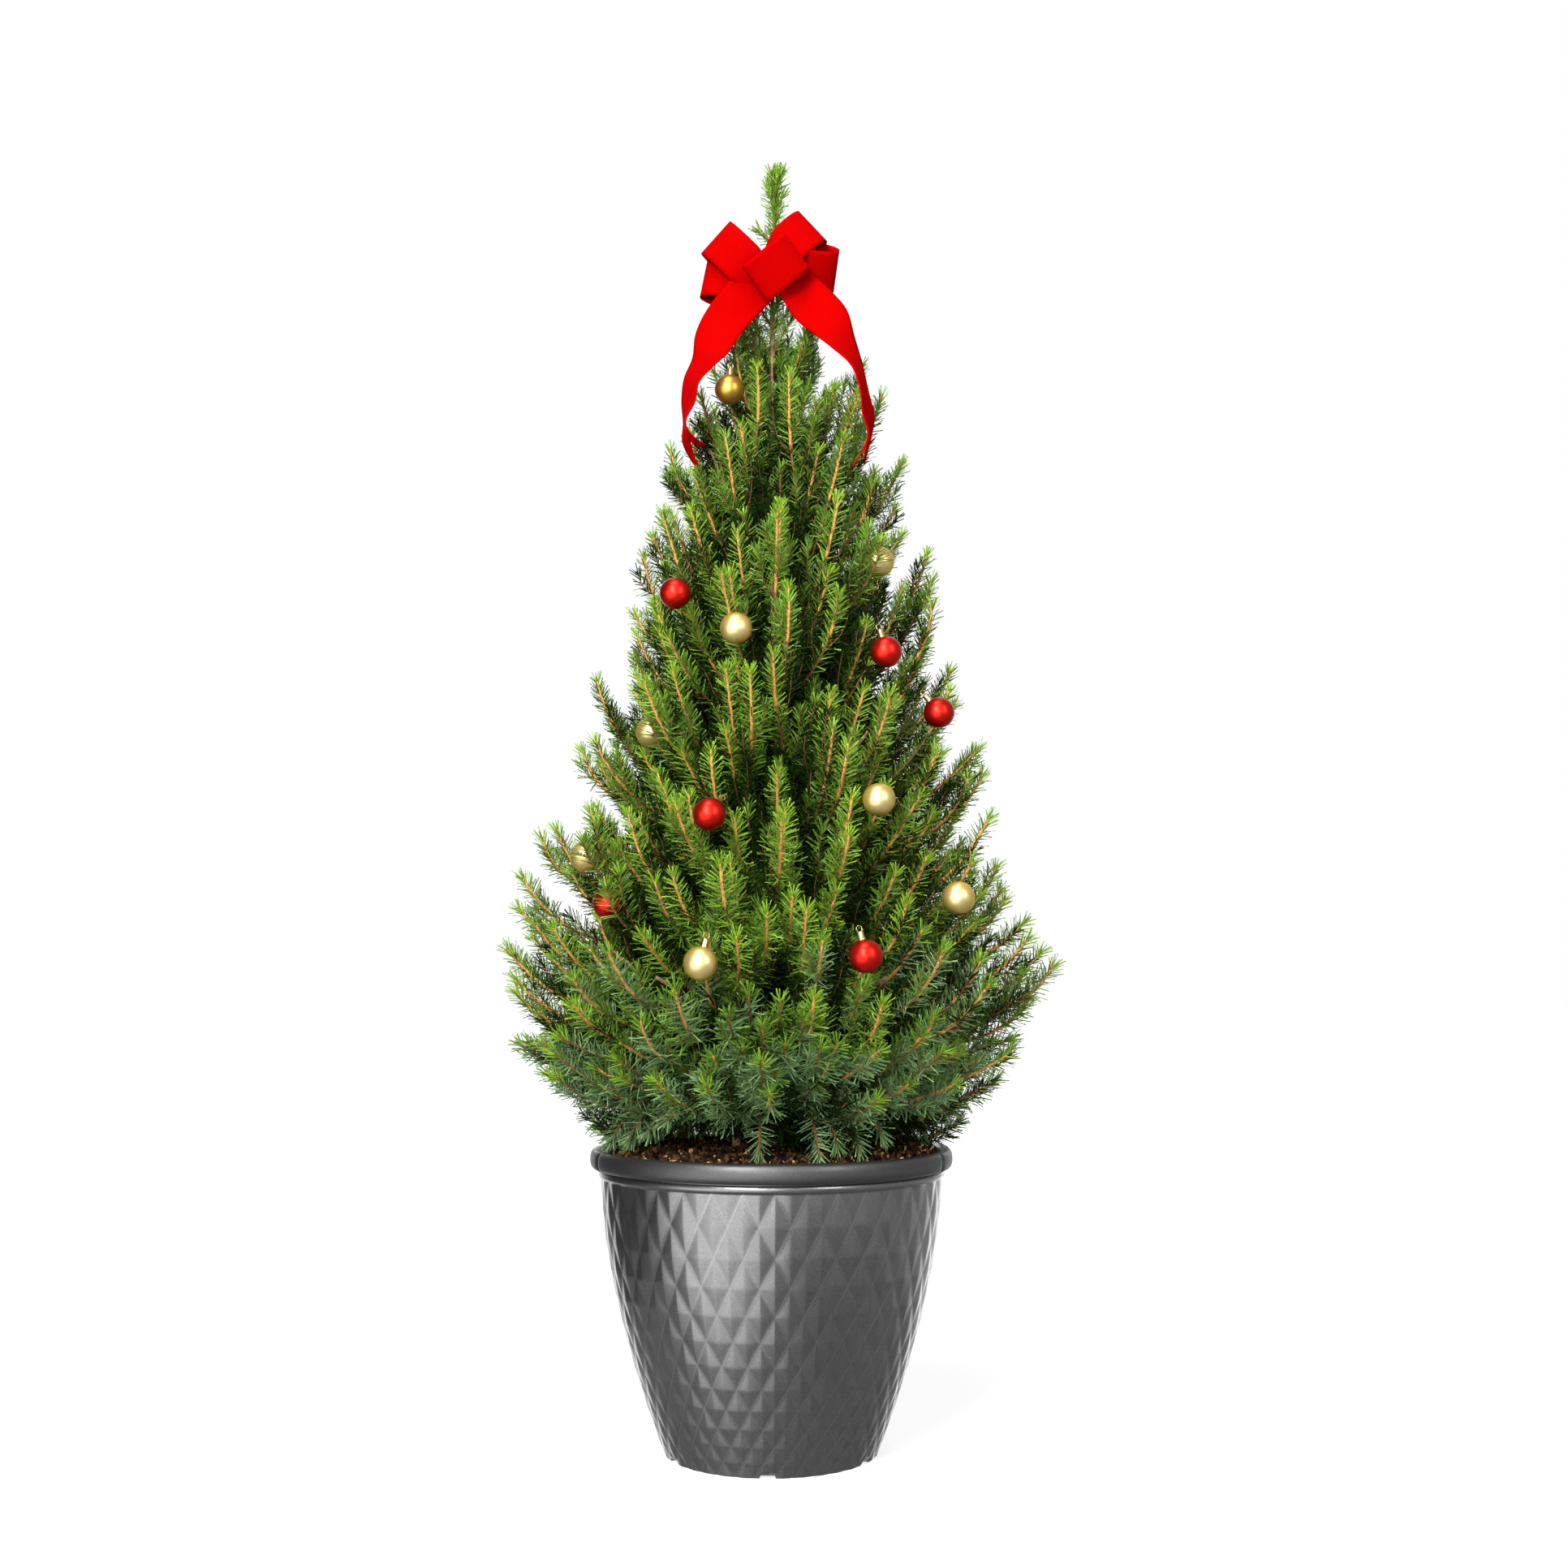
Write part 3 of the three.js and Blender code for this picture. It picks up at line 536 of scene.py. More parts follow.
paint_row = paint_rise * (LATTICE_ROWS / (2 * LATTICE_CROWDING))
off_falling, off_rising = (paint.node("Math", {"operation": "PINGPONG"}, {0: way, 1: 1.0})
                           for way in (paint_column + paint_row, paint_column - paint_row))
# painted highlight: a pale line along each valley of the lattice, stronger on the lines that rise to the
# right
rising_painted_highlight, falling_painted_highlight = (paint.steps(off, *PAINTED_HIGHLIGHT_EDGE) for off in (off_rising, off_falling))
painted_edge_highlight = (rising_painted_highlight + FALLING_HIGHLIGHT_SHARE * falling_painted_highlight) * on_wall
graphite = paint.mix(paint.steps(flake, 0.3, 0.7), rgb(0.14, 0.14, 0.143), rgb(0.25, 0.25, 0.253))
wall_colour = paint.mix(painted_edge_highlight * (0.05 + 0.34 * cloud), graphite, rgb(0.42, 0.42, 0.425))
paint.set(
    # the rim's darker colour is painted shade, for the dim reflections that it shows
    Base_Color=paint.mix(0.55 * on_rim, wall_colour, rgb(0.03, 0.03, 0.031)),
    Roughness=0.23 + 0.12 * flake + 0.05 * cloud + 0.15 * on_rim,
    Coat_Weight=0.9 - 0.8 * on_rim,
    Normal=paint.bump(flake, 0.0001, 0.3),
)
make_piece("pot_shell", pot_points, pot_triangles, paint, "pot", ["pot"])

# %% [markdown]
# ## Soil
# The pot is filled with a dark mix of peat and bark. One bumpy surface gives the fill, and over two
# thousand small crumbs and chips lie on it, because the eye reads soil by its loose pieces. They are
# dealt into three colours: wet black, brown, and a few pale ones of fresh wood. Soil, bark and twigs
# share one kind of finish, which mixes two colours by noise.

# %% Soil
SOIL_RADIUS = 140
SOIL_EDGE = 243
SOIL_TOP = 247
SOIL_RINGS = 44
SOIL_COLUMNS = 150
MOUND_PLACE = (95, 35)
MOUND_SPREAD = 48
MOUND_HEIGHT = 9
SOIL_FLAT_RADIUS = 60
SOIL_FALL = 1.5  # curve of the fall from the flat middle to the edge
SOIL_UNDER_EDGE = 222  # how low the fill's outer edge reaches inside the pot
SOIL_LUMPS = (0.09, 2.2)  # scale and depth
rng = np.random.default_rng(11)


def soil_level(x, y):
    """Height of the soil without its crumbs."""
    radius = np.hypot(x, y)
    outer = np.clip((radius - SOIL_FLAT_RADIUS) / (SOIL_RADIUS - SOIL_FLAT_RADIUS), 0, 1)
    crown = lerp(SOIL_TOP, SOIL_EDGE, outer ** SOIL_FALL)
    apart = ((x - MOUND_PLACE[0]) ** 2 + (y - MOUND_PLACE[1]) ** 2) / MOUND_SPREAD ** 2
    return crown + MOUND_HEIGHT * np.exp(-apart)


def crumble(points, scale, depth):
    """A rough height for each point, from fractal noise."""
    return np.array([depth * noise.fractal(Vector(point) * scale, 1.0, 2.0, 4) for point in points])


def mottled(name, dark, light, specular, grain, spots, roughness, bump_depth):
    """A dull finish from a dark to a light colour. Noise also changes its roughness and its bumps."""
    finish = Finish(name, Specular_IOR_Level=specular)
    speck = finish.grain(*grain)
    finish.set(
        Base_Color=finish.mix(finish.steps(speck, *spots), dark, light),
        Roughness=roughness[0] + roughness[1] * speck,
        Normal=finish.bump(speck, bump_depth),
    )
    return finish


soil_r = np.append(np.linspace(0.5, SOIL_RADIUS, SOIL_RINGS), SOIL_RADIUS)
soil_points, soil_triangles = lathe(np.stack([soil_r, 0 * soil_r], -1), SOIL_COLUMNS)
soil_points[:, 2] = soil_level(soil_points[:, 0], soil_points[:, 1])
soil_points[:, 2] += crumble(soil_points, *SOIL_LUMPS)
soil_points[-SOIL_COLUMNS:, 2] = SOIL_UNDER_EDGE
soil_triangles = soil_triangles[:, ::-1]

peat = mottled(
    "damp peat", rgb(0.006, 0.0035, 0.002), rgb(0.035, 0.017, 0.007),
    specular=0.12, grain=(420.0, 4.0, 0.65), spots=(0.35, 0.7), roughness=(0.55, 0.4), bump_depth=0.002,
)
make_piece("soil_fill", soil_points, soil_triangles, peat, "soil", ["soil"])

# %% [markdown]
# Each crumb starts as the same twelve-cornered ball, and is then stretched, turned and dented by its own
# random numbers. Working on all of them at once in one array keeps this quick.

# %% Soil crumbs and chips
GOLDEN_RATIO = (1 + math.sqrt(5)) / 2
corner_signs = [(turn, sign, flip) for turn in range(3) for sign in (-1, 1) for flip in (-1, 1)]
ball_corners = unit(np.array([
    sign * np.roll([0, 1, flip * GOLDEN_RATIO], turn) for turn, sign, flip in corner_signs]))


def ball_faces(corners):
    """The twenty faces of the twelve-cornered ball, each seen anticlockwise from outside."""
    near = np.linalg.norm(corners[:, None] - corners[None], axis=-1).round(3)
    edge = near[near > 0].min()
    faces = []
    for a, b, c in itertools.combinations(range(len(corners)), 3):
        if near[a, b] == near[b, c] == near[a, c] == edge:
            normal = np.cross(corners[b] - corners[a], corners[c] - corners[a])
            faces.append((a, b, c) if normal @ corners[a] > 0 else (a, c, b))
    return np.array(faces)


BALL_FACES = ball_faces(ball_corners)


def random_turns(count):
    """Random rotation matrices."""
    axes, _ = np.linalg.qr(rng.normal(size=(count, 3, 3)))
    return axes * np.sign(np.linalg.det(axes))[:, None, None]


def crumbs(count, small, large, flatness):
    """Dented lumps that lie on the soil, with sizes in millimetres."""
    angle = 2 * np.pi * rng.random(count)
    radius = (SOIL_RADIUS - 4) * np.sqrt(rng.random(count))
    x, y = radius * np.cos(angle), radius * np.sin(angle)
    size = small * (large / small) ** rng.random(count)
    shape = ball_corners * (0.75 + 0.5 * rng.random((count, len(ball_corners), 1)))
    stretch = np.stack([np.ones(count), 0.45 + 0.4 * rng.random(count), np.full(count, flatness)], -1)
    shape = np.einsum("nij,nkj->nki", random_turns(count), shape * stretch[:, None])
    shape = shape * size[:, None, None] / 2
    centre = np.stack([x, y, soil_level(x, y) + 0.6 + 0.15 * size], -1)
    triangles = BALL_FACES[None] + len(ball_corners) * np.arange(count)[:, None, None]
    return (shape + centre[:, None]).reshape(-1, 3), triangles.reshape(-1, 3)


WOOD_LOOK = {"specular": 0.12, "grain": (260.0, 3.0), "spots": (0.3, 0.7), "roughness": (0.6, 0.3),
             "bump_depth": 0.0008}
CRUMBS = [
    # piece, finish, its dark and light colours, count, smallest and largest size, flatness
    ("soil_crumbs_wet", "wet crumbs", rgb(0.007, 0.004, 0.0025), rgb(0.032, 0.016, 0.007), 1300, 3, 7, 0.7),
    ("soil_crumbs_bark", "bark crumbs", rgb(0.045, 0.018, 0.006), rgb(0.19, 0.08, 0.027), 1000, 2.5, 7, 0.55),
    ("soil_chips_pale", "pale chips", rgb(0.38, 0.19, 0.06), rgb(0.80, 0.54, 0.26), 360, 2, 5.5, 0.4),
]
for name, look, dark, light, *sizes in CRUMBS:
    make_piece(name, *crumbs(*sizes), mottled(look, dark, light, **WOOD_LOOK), "soil", smooth=False)

# %% [markdown]
# ## The growth rule
# The crown is a cone of growth lines. Each line leaves the trunk at its own height, flat near the soil
# and steep near the top, and runs out to the crown's outline. Seven tiers of masses share the lines
# between them. This is the rule that the solid model follows, written here again, so that the twigs below
# fill the same spaces.

# %% The growth rule
TRUNK_FOOT = 247.3
TRUNK_TOP = 985
TREE_TIP = 1122
TRUNK_LEAN = 6
TRUNK_SWAY = 3
CROWN_FOOT, CROWN_FOOT_RADIUS = 258, 150
CROWN_WAIST, CROWN_WAIST_RADIUS = 400, 228
CROWN_SHOULDER, CROWN_SHOULDER_RADIUS = 850, 100
CROWN_TOP_RADIUS = 26
GROWTH_FOOT, GROWTH_TOP = 266, 880
GROWTH_ANGLES = (-3, 75)
GROWTH_CURVE = 0.6
FULLER_SIDE = 0.07  # how much fuller the upper crown is on the right, as a share of its radius
FULLER_FROM, FULLER_SPAN = 450, 300  # the level where that begins, and the height over which it grows
GROWTH_MARGIN = 60  # how far past both ends of the trunk's growth a line is looked for
BISECT_ROUNDS = 30
TIERS = [
    # name, low, high, masses, first sprays, bough radius, face of the crown for a shoot, rise of its end
    ("skirt", 266, 305, 6, 3, 4.0, 850, 34),
    ("low", 305, 360, 6, 4, 4.0, 900, 56),
    ("waist", 360, 435, 6, 3, 3.6, 950, 64),
    ("middle", 435, 530, 5, 3, 0, 950, 67),
    ("upper", 530, 650, 4, 3, 0, 950, 70),
    ("shoulder", 650, 790, 3, 3, 0, 1000, 73),
    ("top", 790, 880, 2, 3, 0, 1300, 78),
]


def trunk_centre(z):
    rise = (z - TRUNK_FOOT) / (TRUNK_TOP - TRUNK_FOOT)
    sway = TRUNK_SWAY * np.sin(2 * np.pi * rise) * (1 - rise)
    return np.stack([TRUNK_LEAN * (1 - rise) + sway, sway, z + 0 * rise], -1)


def crown_radius(z):
    foot = np.sin(np.pi / 2 * np.clip((z - CROWN_FOOT) / (CROWN_WAIST - CROWN_FOOT), 0, 1))
    low = lerp(CROWN_FOOT_RADIUS, CROWN_WAIST_RADIUS, foot)
    side_share = (z - CROWN_WAIST) / (CROWN_SHOULDER - CROWN_WAIST)
    side = lerp(CROWN_WAIST_RADIUS, CROWN_SHOULDER_RADIUS, side_share)
    top_share = np.clip((z - CROWN_SHOULDER) / (TRUNK_TOP - CROWN_SHOULDER), 0, 1)
    top = lerp(CROWN_SHOULDER_RADIUS, CROWN_TOP_RADIUS, top_share)
    return np.where(z < CROWN_WAIST, low, np.where(z < CROWN_SHOULDER, side, top))


def growth_slope(height):
    share = np.clip((height - GROWTH_FOOT) / (GROWTH_TOP - GROWTH_FOOT), 0, 1)
    return np.tan(np.radians(lerp(*GROWTH_ANGLES, share ** GROWTH_CURVE)))


def bisect(low, high, is_past):
    """Where a condition starts to hold between two arrays of numbers."""
    for _ in range(BISECT_ROUNDS):
        middle = (low + high) / 2
        past = is_past(middle)
        high = np.where(past, middle, high)
        low = np.where(past, low, middle)
    return high


def reach(height):
    """How far out a growth line meets the crown's outline."""
    start = np.zeros_like(height, float)
    return bisect(start, start + CROWN_WAIST_RADIUS,
                  lambda radius: radius >= crown_radius(height + radius * growth_slope(height)))


def growth_height(radius, z):
    """The height on the trunk of the growth line through a point."""
    start = np.zeros_like(radius, float)
    return bisect(start + GROWTH_FOOT - GROWTH_MARGIN, start + GROWTH_TOP + GROWTH_MARGIN,
                  lambda height: height + radius * growth_slope(height) >= z)


def line_point(height, angle, radius):
    """A point on the growth line that leaves the trunk at a height, in a direction."""
    z = height + radius * growth_slope(height)
    radius = radius * (1 + FULLER_SIDE * np.cos(angle) * np.clip((z - FULLER_FROM) / FULLER_SPAN, 0, 1))
    return np.stack([radius * np.cos(angle), radius * np.sin(angle), z], -1)


def cell_point(tier, mass, across, along, out):
    """A point of one mass's space: across and along run from -1 to 1, out from the axis to the outline."""
    low, high, masses = TIERS[tier][1:4]
    across, along, out = np.broadcast_arrays(np.asarray(across, float), along, out)
    height = lerp(low, high, (along + 1) / 2)
    middle = -np.pi / 2 + 2 * np.pi / masses * (mass + 0.5 * (tier % 2))
    return line_point(height, middle + across * np.pi / masses, out * reach(height))


print("reach at the waist:", round(float(reach(np.array(float(CROWN_WAIST)))), 1), "mm")

# %% [markdown]
# ## Trunk and boughs
# Old spruce bark breaks into small flakes. The limbs are tubes of many rings, and noise moves each ring's
# points in and out, so that the flakes are real shape and catch the light at the edge. The lowest boughs
# get a paler copy of the bark, painted light, so that their stems read as lit below the foliage's shade.
# The same tube function makes every twig, with fewer sides.

# %% Tubes
TOWARDS_CAMERA = np.array([0, -1.0, 0])


def path_frames(paths):
    """Directions along paths of points, and two directions square to them: under, which points down and
    out of the crown, and side."""
    ahead = unit(np.gradient(paths, axis=1))
    outward = unit(paths * [1, 1, 0] + 0.01 * TOWARDS_CAMERA)
    under = outward - [0, 0, 0.9]
    under = unit(under - ahead * np.sum(under * ahead, -1, keepdims=True))
    return ahead, under, np.cross(ahead, under)


def tubes(paths, radii, sides, relief=None):
    """Closed tubes along paths (count, steps, 3), with a radius for each step."""
    count, steps = paths.shape[:2]
    _, under, side = path_frames(paths)
    turn = 2 * np.pi * np.arange(sides) / sides
    spokes = under[:, :, None] * np.cos(turn)[:, None] + side[:, :, None] * np.sin(turn)[:, None]
    points = paths[:, :, None] + spokes * np.broadcast_to(radii, steps)[None, :, None, None]
    if relief is not None:
        points = points + spokes * relief(points.reshape(-1, 3)).reshape(points.shape[:3] + (1,))
    wall = grid_triangles(steps, sides)
    fan = np.array([[0, k + 1, k] for k in range(1, sides - 1)])
    far = (steps - 1) * sides + fan[:, ::-1]
    one = np.concatenate([wall, fan, far])
    triangles = one[None] + (steps * sides * np.arange(count))[:, None, None]
    return points.reshape(-1, 3), triangles.reshape(-1, 3)


def bezier(start, first, last, end, steps):
    t = np.linspace(0, 1, steps)[:, None]
    return start * (1 - t) ** 3 + 3 * first * t * (1 - t) ** 2 + 3 * last * t ** 2 * (1 - t) + end * t ** 3


# %% Trunk and boughs
TRUNK_FOOT_RADIUS = 8.5
TRUNK_TOP_RADIUS = 2
FLARE_RADIUS, FLARE_HEIGHT = 4, 14
TRUNK_RINGS = 230
GOLDEN = (math.sqrt(5) - 1) / 2
BOUGH_END = 0.24
STEM_MIDDLE = 0.4
SOIL_STEM_MASSES = (4, 5)
SOIL_STEM_FOOT_RADIUS = 34
FIRST_BEND = 22
LAST_BEND = 0.5
SOIL_STEM_LAST_BEND = 0.25
STEM_OUT = 0.78
STEM_RADIUS = 2.6
TRUNK_SIDES, BOUGH_SIDES = 20, 9
TRUNK_RELIEF, BOUGH_RELIEF = (0.35, 0.9), (0.5, 0.45)  # scale and depth of the flakes
TRUNK_RING_CROWDING = 1.1  # above 1, the trunk's rings stand closer at its foot
BOUGH_TAPER = 0.35
STEM_STEPS, LIMB_STEPS, ONWARD_STEPS = 16, 10, 7
BARK_LOOK = {"specular": 0.25, "grain": (240.0, 4.0, 0.6), "spots": (0.32, 0.68), "roughness": (0.75, 0.2),
             "bump_depth": 0.001}


def bark_relief(scale, depth):
    """Flaky bark: cells and fractal noise, stretched along the limb."""
    def relief(points):
        flakes = [noise.cell(Vector((x, y, z * 0.45)) * scale) for x, y, z in points]
        rough = [noise.fractal(Vector((x, y, z * 0.5)) * scale * 1.7, 1.0, 2.0, 3) for x, y, z in points]
        return depth * (0.5 * np.array(flakes) + 0.6 * np.array(rough))
    return relief


trunk_bark = mottled("flaky bark", rgb(0.07, 0.04, 0.022), rgb(0.36, 0.215, 0.13), **BARK_LOOK)
# a paler copy of the bark, painted light for the lowest stems that lie in the foliage's shade
painted_light_stem_bark = mottled("stem bark with painted light", rgb(0.16, 0.09, 0.05), rgb(0.62, 0.38, 0.23), **BARK_LOOK)
trunk_z = TRUNK_FOOT + (TRUNK_TOP - TRUNK_FOOT) * np.linspace(0, 1, TRUNK_RINGS) ** TRUNK_RING_CROWDING
trunk_rise = (trunk_z - TRUNK_FOOT) / (TRUNK_TOP - TRUNK_FOOT)
trunk_radii = lerp(TRUNK_FOOT_RADIUS, TRUNK_TOP_RADIUS, trunk_rise)
trunk_radii = trunk_radii + FLARE_RADIUS * np.exp(-(trunk_z - TRUNK_FOOT) / FLARE_HEIGHT)
trunk_tube = tubes(trunk_centre(trunk_z)[None], trunk_radii, TRUNK_SIDES, bark_relief(*TRUNK_RELIEF))
make_piece("trunk_bark", *trunk_tube, trunk_bark, "bark", ["trunk"])


def bough_path(tier, mass):
    """A bough and the stem that carries on from it, out into its mass."""
    _, low, high, _, _, bough, *_ = TIERS[tier]
    end = cell_point(tier, mass, 0, 0, BOUGH_END)
    inner = cell_point(tier, mass, 0, 0, STEM_MIDDLE)
    tip = cell_point(tier, mass, 0, 0, STEM_OUT)
    if not bough:
        start = trunk_centre(np.array(lerp(low, high, 0.5)))
        return bezier(start, lerp(start, inner, 0.33), lerp(start, inner, 0.8), tip, STEM_STEPS)
    outward = unit(end * [1, 1, 0])
    start = trunk_centre(np.array(lerp(low, high, GOLDEN * (mass + 1) % 1)))
    first = start + outward * FIRST_BEND
    bend_back = LAST_BEND
    if tier == 0 and mass in SOIL_STEM_MASSES:
        start = outward * SOIL_STEM_FOOT_RADIUS + [0, 0, TRUNK_FOOT - 1]
        first = start + [0, 0, FIRST_BEND]
        bend_back = SOIL_STEM_LAST_BEND
    last = end + unit(end - inner) * np.linalg.norm(end - start) * bend_back
    limb = bezier(start, first, last, end, LIMB_STEPS)
    onward = lerp(end, tip, np.linspace(0, 1, ONWARD_STEPS)[1:, None])
    return np.concatenate([limb, onward])


for tier, (name, _, _, masses, _, bough, *_) in enumerate(TIERS):
    paths = np.stack([bough_path(tier, mass) for mass in range(masses)])
    radii = (bough or STEM_RADIUS) * np.linspace(1, BOUGH_TAPER, paths.shape[1])
    replaced = [f"bough_{name}_{mass + 1}" for mass in range(masses)] if bough else []
    # the lowest tier's stems get the bark with painted light
    finish = painted_light_stem_bark if tier == 0 else trunk_bark
    bough_tubes = tubes(paths, radii, BOUGH_SIDES, bark_relief(*BOUGH_RELIEF))
    make_piece(f"boughs_{name}", *bough_tubes, finish, "bark", replaced)

# %% [markdown]
# ## Places of the decorations
# The baubles of the photograph are found by their pixels. Each lies where the line of sight meets the
# crown, a little outside or inside its outline. The bow's two tails hang down the front. The places are
# settled now, so that no shoot grows through them.

# %% Places of the decorations
BAUBLE_RADIUS = 12.8
FRONT_BAUBLES = [
    # pixel, colour, share of the crown's radius, open to view, lean of the cap to the right and to the back
    (899, 480, "bronze", 0.92, True, 2, 0), (907, 774, "gold", 0.96, True, 0, 60),
    (1083, 692, "gold", 0.88, False, 0, 40), (803, 902, "gold", 0.76, False, 0, 40),
    (1083, 985, "gold", 0.96, True, 0, 60), (722, 1055, "gold", 0.9, False, 0, 40),
    (1181, 1106, "gold", 0.98, True, -10, 50), (863, 1187, "gold", 0.96, True, 12, 0),
    (832, 731, "red", 1.0, True, 20, 60), (1092, 803, "red", 0.98, True, -16, 0),
    (1157, 878, "red", 0.94, True, -38, 0), (874, 1003, "red", 0.96, True, 34, 40),
    (750, 1113, "red", 0.8, False, 0, 40), (1067, 1178, "red", 0.96, True, -14, 0),
]
OPEN_ROOM = BAUBLE_RADIUS + 5  # how far shoots keep from the line of sight to a bauble that is open to view
HIDDEN_ROOM = 6  # the same for a bauble half hidden
SIGHT_RANGE = (1100, 1560)  # distances from the camera between which the crown lies
SIGHT_STEPS = 2000


def on_crown(px, py, share):
    """Where the line of sight through a pixel first meets the crown's outline, made smaller by a share."""
    ray = sight(px, py)
    distance = np.linspace(*SIGHT_RANGE, SIGHT_STEPS)
    points = CAMERA_PLACE + ray * distance[:, None]
    depth = share * crown_radius(points[:, 2]) - np.hypot(points[:, 0], points[:, 1])
    inside = depth >= 0
    return points[np.argmax(inside)] if inside.any() else points[np.argmax(depth)]


bauble_places = [on_crown(px, py, share) for px, py, _, share, *_ in FRONT_BAUBLES]
bauble_colours = [colour for _, _, colour, *_ in FRONT_BAUBLES]
bauble_rooms = [OPEN_ROOM if is_open else HIDDEN_ROOM for *_, is_open, _, _ in FRONT_BAUBLES]
bauble_leans = [bauble[-2:] for bauble in FRONT_BAUBLES]

# %% [markdown]
# A tail of the bow is a ribbon that twists as it falls. Its outline in the photograph gives both of its
# edges. The ribbon keeps its width, so where it looks narrow, one edge lies that much further back than
# the other.

# %% Places of the ribbon tails
RIBBON_HALF = 19
TAIL_STEPS = 60
TAIL_ROOM = 10  # how far a shoot keeps from the line of sight to a tail
TAIL_GUARD = slice(2, 50, 4)  # the steps of a tail at which that is watched
TAIL_GUARD_SHARES = (0.1, 0.5, 0.9)  # the same across its width
LEFT_TAIL = [
    # pixel of the left edge, pixel of the right edge, depth between them
    (913, 331, 952, 369, -26), (876, 375, 917, 407, -36), (858, 410, 898, 434, -48),
    (854, 442, 880, 451, -58), (844, 467, 862, 471, -64), (841, 495, 857, 495, -66),
    (843, 521, 845, 521, -64), (843, 548, 857, 539, -58), (864, 586, 870, 548, -48),
]
RIGHT_TAIL = [
    (947, 345, 987, 322, -22), (960, 363, 1003, 340, -26), (981, 394, 1026, 361, -38),
    (1003, 412, 1044, 384, -50), (1024, 428, 1052, 415, -60), (1048, 450, 1061, 447, -66),
    (1059, 479, 1069, 483, -68), (1062, 509, 1076, 513, -68), (1069, 541, 1072, 540, -64),
    (1047, 579, 1064, 572, -52),
]


def smooth_line(values, steps):
    """A smooth line through a few rows of numbers."""
    own = np.linspace(0, len(values) - 1, steps)
    index = np.clip(own.astype(int), 0, len(values) - 2)
    t = (own - index)[:, None]
    slope = np.gradient(values, axis=0)
    start, end = values[index], values[index + 1]
    return ((2 * t ** 3 - 3 * t ** 2 + 1) * start + (t ** 3 - 2 * t ** 2 + t) * slope[index]
            + (3 * t ** 2 - 2 * t ** 3) * end + (t ** 3 - t ** 2) * slope[index + 1])


def tail_edges(stations, turned):
    """The two edges of a tail. With turned 1 its left edge lies further back, with -1 its right edge."""
    edges = []
    for left_x, left_y, right_x, right_y, depth in stations:
        seen_left, seen_right = photo_point(left_x, left_y, depth), photo_point(right_x, right_y, depth)
        seen_width = np.linalg.norm(seen_left - seen_right)
        behind = turned * math.sqrt(max(RIBBON_HALF ** 2 - seen_width ** 2 / 4, 0))
        left = photo_point(left_x, left_y, depth + behind)
        right = photo_point(right_x, right_y, depth - behind)
        edges.append([*left, *right])
    edges = smooth_line(np.array(edges), TAIL_STEPS)
    return edges[:, :3], edges[:, 3:]


tails = [tail_edges(LEFT_TAIL, 1), tail_edges(RIGHT_TAIL, -1)]
tail_places = np.concatenate([
    lerp(left, right, share)[TAIL_GUARD] for left, right in tails for share in TAIL_GUARD_SHARES])
print(len(bauble_places), "baubles and", len(tails), "tails placed on the front")

# %% [markdown]
# ## Shoots
# Each mass grows shoots from its stem to tips spread evenly over its outer face. The first few tips are
# those of the solid model's own sprays, from the same seeded stream of numbers. The rest carry the same
# sequence on, so they fall between the first ones. A shoot leaves its stem flat and turns up towards the
# light. The first half of the shoots lead: they reach the light, and the eye sees them one by one. The
# others stay in their shelter.

# %% Seeded stream
SPREAD_STEPS = (0.7549, 0.5698)
SPRAY_SPREAD = 0.84
SPRAY_REACH = (0.96, 1.04)
CORE_DRAWS = 54  # numbers that the solid model draws for a mass's heart before its sprays


def seeded_random(seed):
    """The solid model's stream of numbers from 0 to 1."""
    state = seed
    full = 0xFFFFFFFF
    while True:
        state = (state + 0x6D2B79F5) & full
        mixed = ((state ^ (state >> 15)) * (state | 1)) & full
        mixed ^= (mixed + (((mixed ^ (mixed >> 7)) * (mixed | 61)) & full)) & full
        yield ((mixed ^ (mixed >> 14)) & full) / (full + 1)


# %% Shoots
SHOOT_STEPS = 12
INNER_STEPS = 6
SHOOT_BEND = 0.5  # where a shoot turns up, as a share of its length from its tip
LEADING_REACH = (0.76, 0.94)
SHELTERED_REACH = (0.5, 0.72)
LOWEST_ALONG = -0.3  # how low the shoots of the lowest tier end in its space
UP = np.array([0, 0, 1.0])
OUTLINE_TIPS = [
    # x and z in millimetres of the shoots that break the outline in the photograph
    (-215, 334), (-223, 410), (-218, 448), (-196, 507), (-152, 536), (-162, 582), (-144, 625), (-120, 668),
    (-104, 715), (-104, 773), (-87, 835), (-60, 881), (191, 303), (207, 331), (235, 399), (220, 438),
    (206, 458), (197, 486), (182, 564), (178, 585), (154, 653), (140, 736), (109, 802), (116, 845),
    (97, 902), (80, 932), (-190, 310), (35, 958), (-19, 966), (-148, 262), (-164, 283), (161, 266),
    (157, 283),
]
FRONT_TIPS = [
    # pixel of the shoots that stand out low on the front
    (922, 1222), (962, 1232), (897, 1250), (990, 1256), (940, 1262), (968, 1285), (915, 1290), (1012, 1290),
]
TOP_SHOOTS = 14  # shoots that close the back of the thin top
TOP_LEVELS = (830, 965)
TOP_SHARE = 0.8  # of the crown's radius
FRONT_SHARE = 0.92
OUTLINE_TURN = 0.12  # how far the outline's shoots stray to the front and back, in radians
RISE_SPREAD = 7  # degrees
SHELTERED_RISE, INNER_RISE = 0.8, 0.6  # how steep these shoots are beside the leading ones
ROOT_SHARES = (0.3, 0.5)  # where a shoot starts, as a share of its tip's distance
GIVEN_ROOT_SHARE = 0.45  # the same for shoots that end at given tips
INNER_ROOTS = (0.1, 0.4)  # where inner twigs start, as a share of the way to the outline
INNER_LENGTH = 0.25


